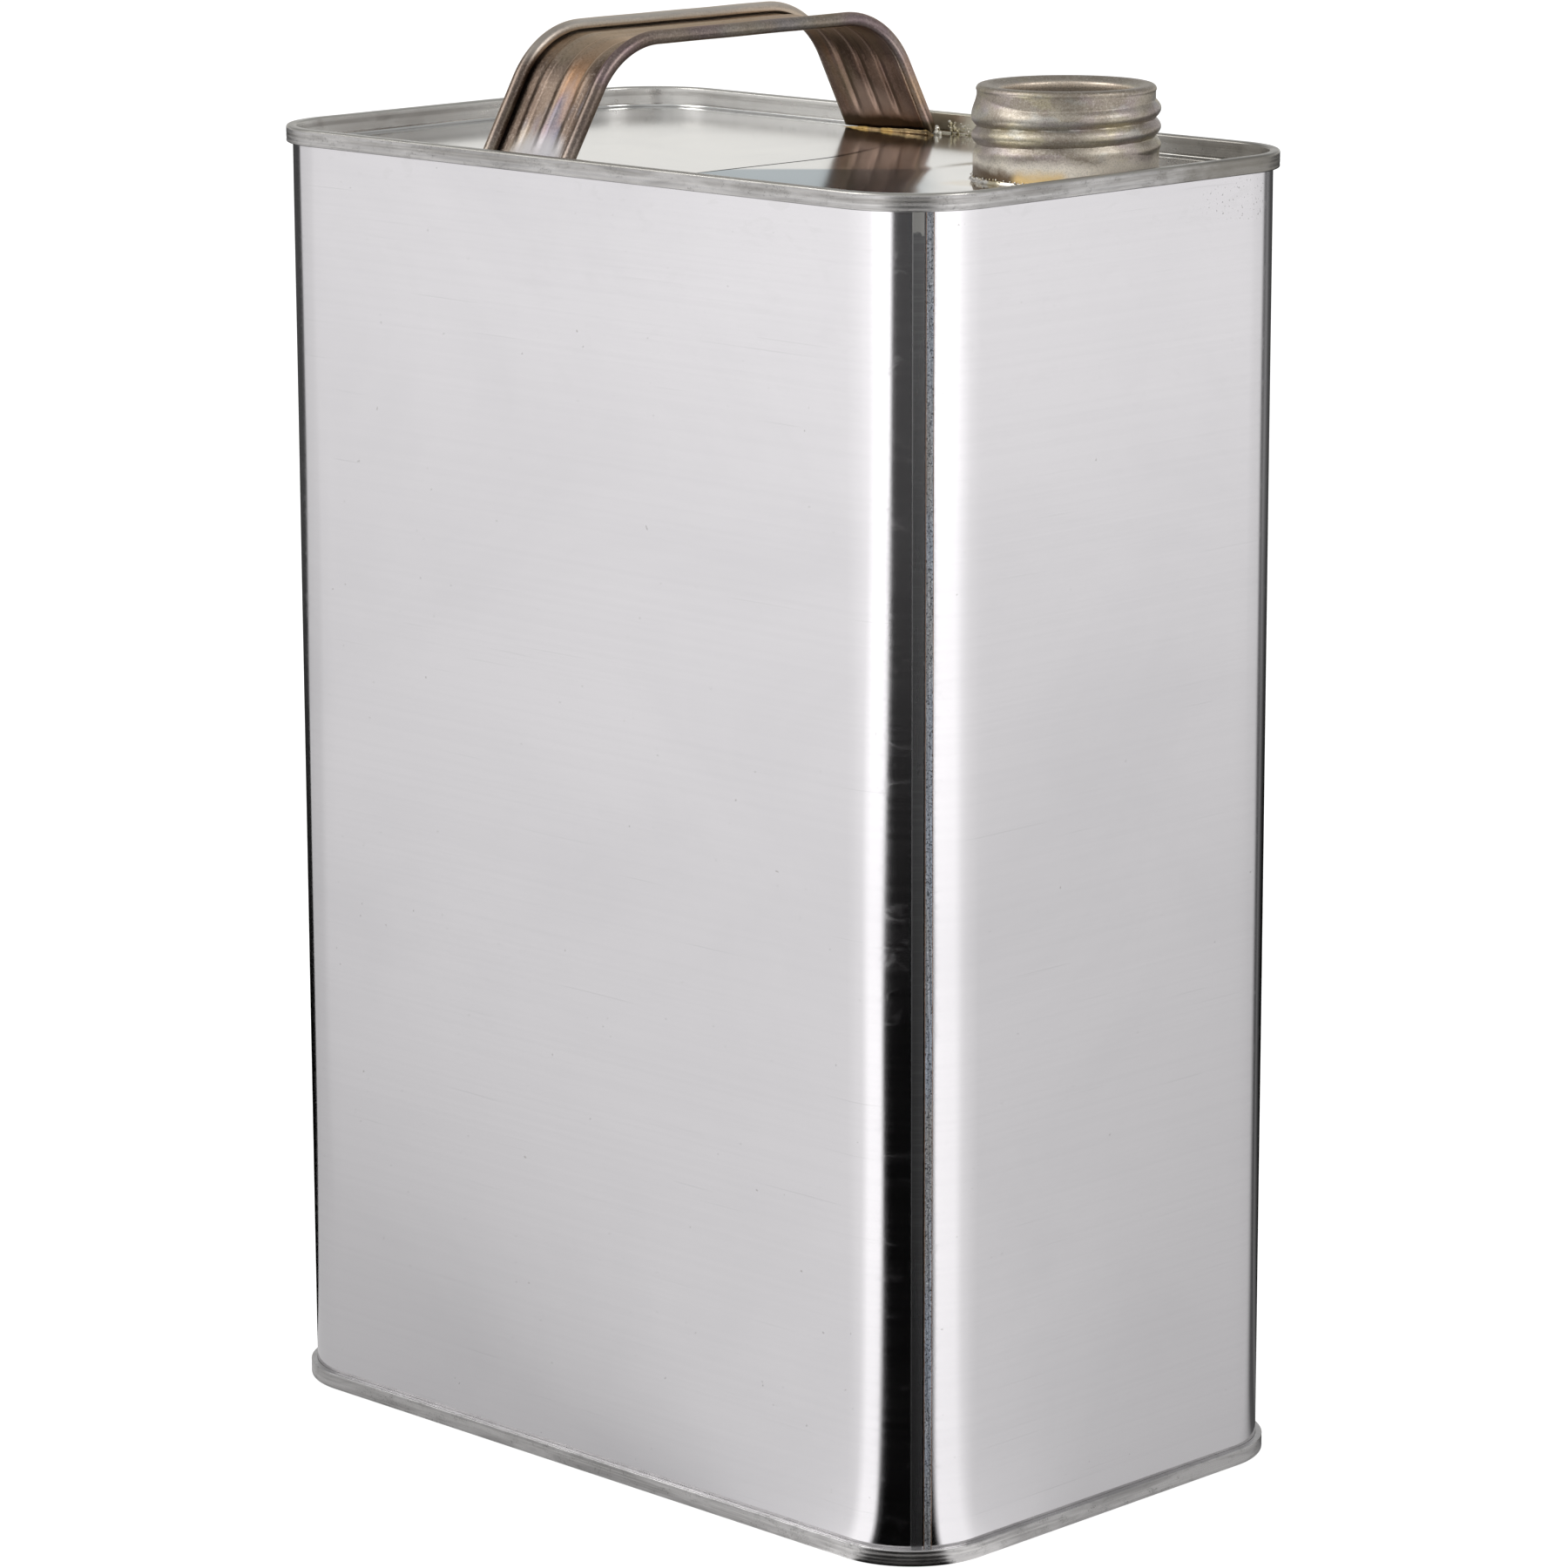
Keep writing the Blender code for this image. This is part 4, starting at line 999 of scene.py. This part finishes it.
def handle_finish(name, shade):
    """Steel browned by the soldering heat: bronze, streaked along the strap with heat tints."""
    steel = Finish(name)
    fine = steel.grain(2300, detail=4, rough=0.75)
    along = steel.grain(1, (900, 24, 24), detail=4, rough=0.6, warp=0.3)
    streak = steel.grain(1, (170, 16, 16), detail=4, rough=0.6, warp=0.5)
    cloud = steel.grain(85, (1.4, 1, 1), detail=5, rough=0.6, warp=0.7)
    steel.start_tone(cloud, 0.36, 0.64, (0.26, 0.2, 0.155), (0.145, 0.11, 0.088))
    steel.lay((0.37, 0.295, 0.235), 0.5, streak, 0.46, 0.36)
    steel.lay((0.07, 0.05, 0.04), 0.7, streak, 0.5, 0.6)
    for offset, scale, low, amount, colour in (
        (0.1, (120, 24, 24), 0.56, 0.6, (0.62, 0.36, 0.19)),
        (0.2, (110, 34, 34), 0.55, 0.6, (0.27, 0.18, 0.26)),
        (0.3, (130, 40, 40), 0.58, 0.45, (0.24, 0.29, 0.38)),
        (0.4, (80, 30, 30), 0.55, 0.45, (0.33, 0.32, 0.22)),
    ):
        steel.lay(colour, amount, steel.grain(1, scale, centre=(0, 0, offset)), low, low + 0.11)
    steel.lay((0.5, 0.41, 0.34), 0.35, along, 0.48, 0.7)
    x, y, z = steel.axes((HANDLE_X, 0, PANEL_Z))
    off_middle = steel.apart(x)
    rolled = steel.spread(off_middle, ROLL_CENTRE - 0.0015, ROLL_CENTRE - 0.0006)
    flat_top = steel.spread(z, CROWN_Z - 0.006, CROWN_Z - 0.002)
    steel.lay((0.6, 0.49, 0.37), flat_top, steel.minus(0.75, rolled, clamp=True))
    # On the crown each pressed bead gets a thin light line along one flank, a painted highlight
    from_first = steel.plus(x, 1.5 * BEAD_SPACING + BEAD_FLANK)
    off_flank = steel.apart(steel.sums("MODULO", from_first, BEAD_SPACING), BEAD_SPACING / 2)
    flank_painted_highlight = steel.spread(off_flank, 0.00012, 0.00035, 1.0, 0.0)
    flank_painted_highlight = steel.times(flank_painted_highlight, steel.spread(off_middle, 0.007, 0.0066))
    shoulder = steel.spread(z, CROWN_Z - 0.011, CROWN_Z - 0.005)
    steel.lay((0.82, 0.72, 0.6), 0.75, steel.times(flank_painted_highlight, shoulder))
    steel.lay((0.3, 0.255, 0.23), 0.4, rolled)
    steel.lay((0.66, 0.58, 0.51), 0.28, fine, 0.52, 0.64)
    steel.lay((0.09, 0.07, 0.055), 0.36, fine, 0.48, 0.36)
    # The far curl's top is painted pale, a painted highlight
    far_curl_painted_highlight = steel.spread(x, 0.0016 - ROLL_CENTRE, 0.0008 - ROLL_CENTRE)
    steel.lay((0.7, 0.66, 0.6), 0.85, steel.times(far_curl_painted_highlight, flat_top))
    # The front foot is bare and ragged, the rear one scorched below and scaled above
    bare = steel.near((HANDLE_X + 0.001, handle_low.y + 0.002, PANEL_Z + 0.002), 0.011, (0.75, 0.6, 1))
    ragged = steel.spread(steel.plus(bare, steel.times(along, 0.5)), 0.55, 1.05)
    steel.lay((0.37, 0.36, 0.365), 0.85, ragged)
    singe = steel.minus(z, steel.times(cloud, 0.003))
    scorched = steel.spread(singe, 0.0006, 0.0022, 0.96, 0.0)
    scorched = steel.times(scorched, steel.spread(y, 0.0, 0.02))
    steel.lay((0.085, 0.065, 0.04), 1.0, scorched)
    scaled = steel.near((HANDLE_X + 0.001, strap_y - 0.003, PANEL_Z + 0.0035), 0.012, (0.8, 1, 1))
    scaled = steel.spread(steel.plus(scaled, streak), 0.6, 1.2, 0.0, 0.9)
    steel.lay((0.56, 0.48, 0.4), steel.minus(1.0, scorched), scaled)
    # Above its bare foot the front leg is darkened, a painted shade
    front_leg_painted_shade = steel.times(steel.spread(y, -0.024, -0.03), steel.spread(z, 0.004, 0.009))
    steel.lay((0.66, 0.62, 0.6), 0.85, front_leg_painted_shade, blend="MULTIPLY")
    # shade darkens the whole finish: the darker copy on the arch's underside is a painted shade
    steel.lay(shade, 1.0, blend="MULTIPLY")
    steel.set(Specular_Tint=HANDLE_EDGE_TINT)
    rough = steel.plus(steel.spread(fine, 0.3, 0.7, 0.28, 0.43), steel.times(ragged, 0.1))
    return steel.done(rough, steel.plus(fine, along), 0.00003, 0.6)


handle = start(
    "circle", vertices=48, radius=ROLL_RADIUS, fill_type="NOTHING", location=(ROLL_CENTRE, 0, CROWN_Z),
    rotation=(pi / 2, 0, 0),
)


def in_mouth(vertex):
    angle = atan2(vertex.co.z - CROWN_Z, vertex.co.x - ROLL_CENTRE) % (2 * pi)
    return ROLL_END + 0.01 < angle < 3 * pi / 2 - 0.01


pick(handle, "verts", in_mouth)
bpy.ops.mesh.delete(type="VERT")
pick(handle, "verts", lambda vertex: abs(vertex.co.x - ROLL_CENTRE) < 0.00001 and vertex.co.z < CROWN_Z)
for step in range(WEB_STEPS):
    x = ROLL_CENTRE * (1 - step / WEB_STEPS)
    after = ROLL_CENTRE * (1 - (step + 1) / WEB_STEPS)
    bpy.ops.mesh.extrude_vertices_move(
        TRANSFORM_OT_translate={"value": (after - x, 0, pressed_rise(after) - pressed_rise(x))}
    )
bend_z = CROWN_Z - BEND_RADIUS
for side, foot_y, lean in (REAR_LEG, FRONT_LEG):
    turn = pi / 2 - lean
    bend_y = foot_y - (CROWN_Z - FOOT_GAP) * tan(lean) - BEND_RADIUS * tan(turn / 2)
    leg_top = Vector((0, side * (bend_y + BEND_RADIUS * sin(turn)), bend_z + BEND_RADIUS * cos(turn)))
    leg_along = Vector((0, side * cos(turn), -sin(turn)))
    leg_out = Vector((0, side * sin(turn), cos(turn)))
    leg_length = (leg_top.z - FOOT_GAP) / sin(turn)
    pick(handle, "verts", lambda vertex: abs(vertex.co.y) < 0.00001)
    for step in range(CROWN_STEPS):
        pull((0, side * bend_y / CROWN_STEPS, 0))
    bpy.ops.mesh.spin(steps=BEND_STEPS, angle=turn, center=(0, side * bend_y, bend_z), axis=(side, 0, 0))
    for step in range(LEG_STEPS):
        pull(leg_along * (leg_length + 0.002) / LEG_STEPS)
    # The pressed beads run out before they reach the foot
    mesh = bmesh.from_edit_mesh(handle.data)
    for vertex in mesh.verts:
        down = (vertex.co - leg_top).dot(leg_along)
        if side * vertex.co.y > 0 and down > -0.00001:
            share = 1 - down / leg_length
            full = smooth((share - BEAD_STOP_SHARE) / (BEAD_FULL_SHARE - BEAD_STOP_SHARE))
            vertex.co -= leg_out * pressed_rise(vertex.co.x) * (1 - full)
    bmesh.update_edit_mesh(handle.data)
select_whole()
bpy.ops.mesh.remove_doubles(threshold=0.000001)
switch("OBJECT")
mirror = handle.modifiers.new("other_edge", "MIRROR")
mirror.use_axis = (True, False, False)
mirror.merge_threshold = 0.00001
bpy.ops.object.modifier_apply(modifier=mirror.name)
for vertex in handle.data.vertices:
    x, y, z = vertex.co
    height_share = max(z - FOOT_GAP, 0) / (CROWN_Z - FOOT_GAP)
    vertex.co.z += HANDLE_WAVE * noise.noise(Vector((x, y, z)) / 0.012) * height_share
    vertex.co.z -= x * tan(HANDLE_TILT) * height_share
    vertex.co.x += HANDLE_WAVE * noise.noise(Vector((x / 4, y, z + 1)) / 0.02) * height_share
switch("EDIT")
face_outward()
switch("OBJECT")
thicken(handle, HANDLE_SHEET, 0)
switch("EDIT")
select_whole()
bpy.ops.mesh.bisect(plane_co=(0, 0, FOOT_GAP), plane_no=(0, 0, 1), use_fill=True, clear_inner=True)
face_outward()
bpy.ops.transform.translate(value=(HANDLE_X, 0, PANEL_Z))
strap_look = handle_finish("heat_tinted_steel", (1, 1, 1))
finish_piece(handle, "strap_handle", strap_look, "carry_handle", slot="handle_steel", sharp=60)
# The underside of the arch gets a darker copy of the finish, a painted shade
handle.data.materials.append(handle_finish("underside_steel_painted_shade", (0.45, 0.37, 0.36)))
arch_middle = Vector((HANDLE_X, 0, PANEL_Z))
for face in handle.data.polygons:
    toward = arch_middle - face.center
    toward.x = 0
    if abs(face.center.x - HANDLE_X) < ROLL_CENTRE and face.normal.dot(toward.normalized()) > 0.3:
        face.material_index = 1


# The handle's solder: a lumpy fillet along the inner side of each foot. At the rear foot it ran on
# past the strap's right end in a few bright drops, and spattered the wall behind it.
FOOT_FILLET_WIDTH = 0.001
FOOT_FILLET_HEIGHT = 0.00075
FOOT_FILLET_ROWS = 72
FOOT_FILLET_RIGHT_END = 0.0012
FOOT_FILLET_LEFT_END = 0.006


def foot_solder(name, node, leg, seed, overrun):
    """One foot's fillet; overrun is how far it runs past the strap towards +X."""
    side, _, lean = leg
    foot_low, foot_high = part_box(node)
    inner_y = max(abs(foot_low.y), abs(foot_high.y))
    length = HANDLE_WIDTH + overrun
    piece = start(
        "cylinder", vertices=20, radius=1.0, depth=length, location=(HANDLE_X + overrun / 2, 0, 0),
        rotation=(0, pi / 2, 0),
    )
    divide(piece, lambda edge: abs(edge.verts[0].co.x - edge.verts[1].co.x) > length / 2, FOOT_FILLET_ROWS)
    switch("OBJECT")
    for vertex in piece.data.vertices:
        x, y, z = vertex.co
        lump = 1 + 0.45 * noise.noise(Vector((x / 0.005, seed, 0)))
        lump += 0.2 * noise.noise(Vector((x / 0.0012, seed, 3)))
        from_left = x - HANDLE_X + HANDLE_WIDTH / 2
        ends = min((length - from_left) / FOOT_FILLET_RIGHT_END, from_left / FOOT_FILLET_LEFT_END, 1)
        lump *= 0.2 + 0.8 * max(ends, 0)
        lump *= 0.85 + 0.9 * (x - HANDLE_X) / HANDLE_WIDTH
        out, rise = fillet_place(y, z, FOOT_FILLET_WIDTH * lump, FOOT_FILLET_HEIGHT * lump)
        reach = inner_y - rise * tan(lean) - out + SEAT
        vertex.co = (x, side * reach, PANEL_Z - SEAT + rise)
    switch("EDIT")
    face_outward()
    finish_piece(piece, name, foot_solder_look, node, slot="solder", sharp=60)


foot_solder_look = solder_finish("foot_solder", (0.44, 0.31, 0.15), 0.42, (0.56, 0.37, 0.12))
foot_solder("foot_solder_front", "handle_solder_front", FRONT_LEG, 3.7, 0)
foot_solder("foot_solder_rear", "handle_solder_rear", REAR_LEG, 8.2, 0.0012)


def rear_spatter(chance):
    """Three drops that ran off the strap's end, and the specks on the wall behind them."""
    end_x = HANDLE_X + HANDLE_WIDTH / 2
    yield (end_x - 0.0002, REAR_LEG[1] + 0.0004, PANEL_Z + 0.001), 0.0007
    yield (end_x + 0.0003, REAR_LEG[1] - 0.0002, PANEL_Z + 0.0004), 0.0006
    yield (end_x + 0.0011, REAR_LEG[1] - 0.0001, PANEL_Z + 0.0003), 0.0005
    wall_y = BODY_HALF_Y - (SEAM_WIDTH - SEAM_REACH)
    for step in range(34):
        x = end_x + chance.uniform(0.0002, 0.0085)
        rise = chance.uniform(0.0004, 0.0022)
        yield (x, wall_y - 0.00005, PANEL_Z + rise), chance.uniform(0.00014, 0.00034)


rear_drop_look = solder_finish("rear_drop_solder", (0.86, 0.82, 0.72), 0.5, (0.8, 0.72, 0.5))
solder_drops("rear_solder_spatter", 11, rear_drop_look, rear_spatter)


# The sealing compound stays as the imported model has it, hidden in the seams: a rubbery lining.
compound = Finish("sealing_compound", metallic=0.0)
cloud = compound.grain(300)
compound.set(Base_Color=compound.mix(cloud, (0.03, 0.03, 0.03), (0.07, 0.065, 0.06)), Roughness=0.75)
for name in ("top_seam_compound", "bottom_seam_compound"):
    bpy.data.objects[name].material_slots[0].material = compound.material
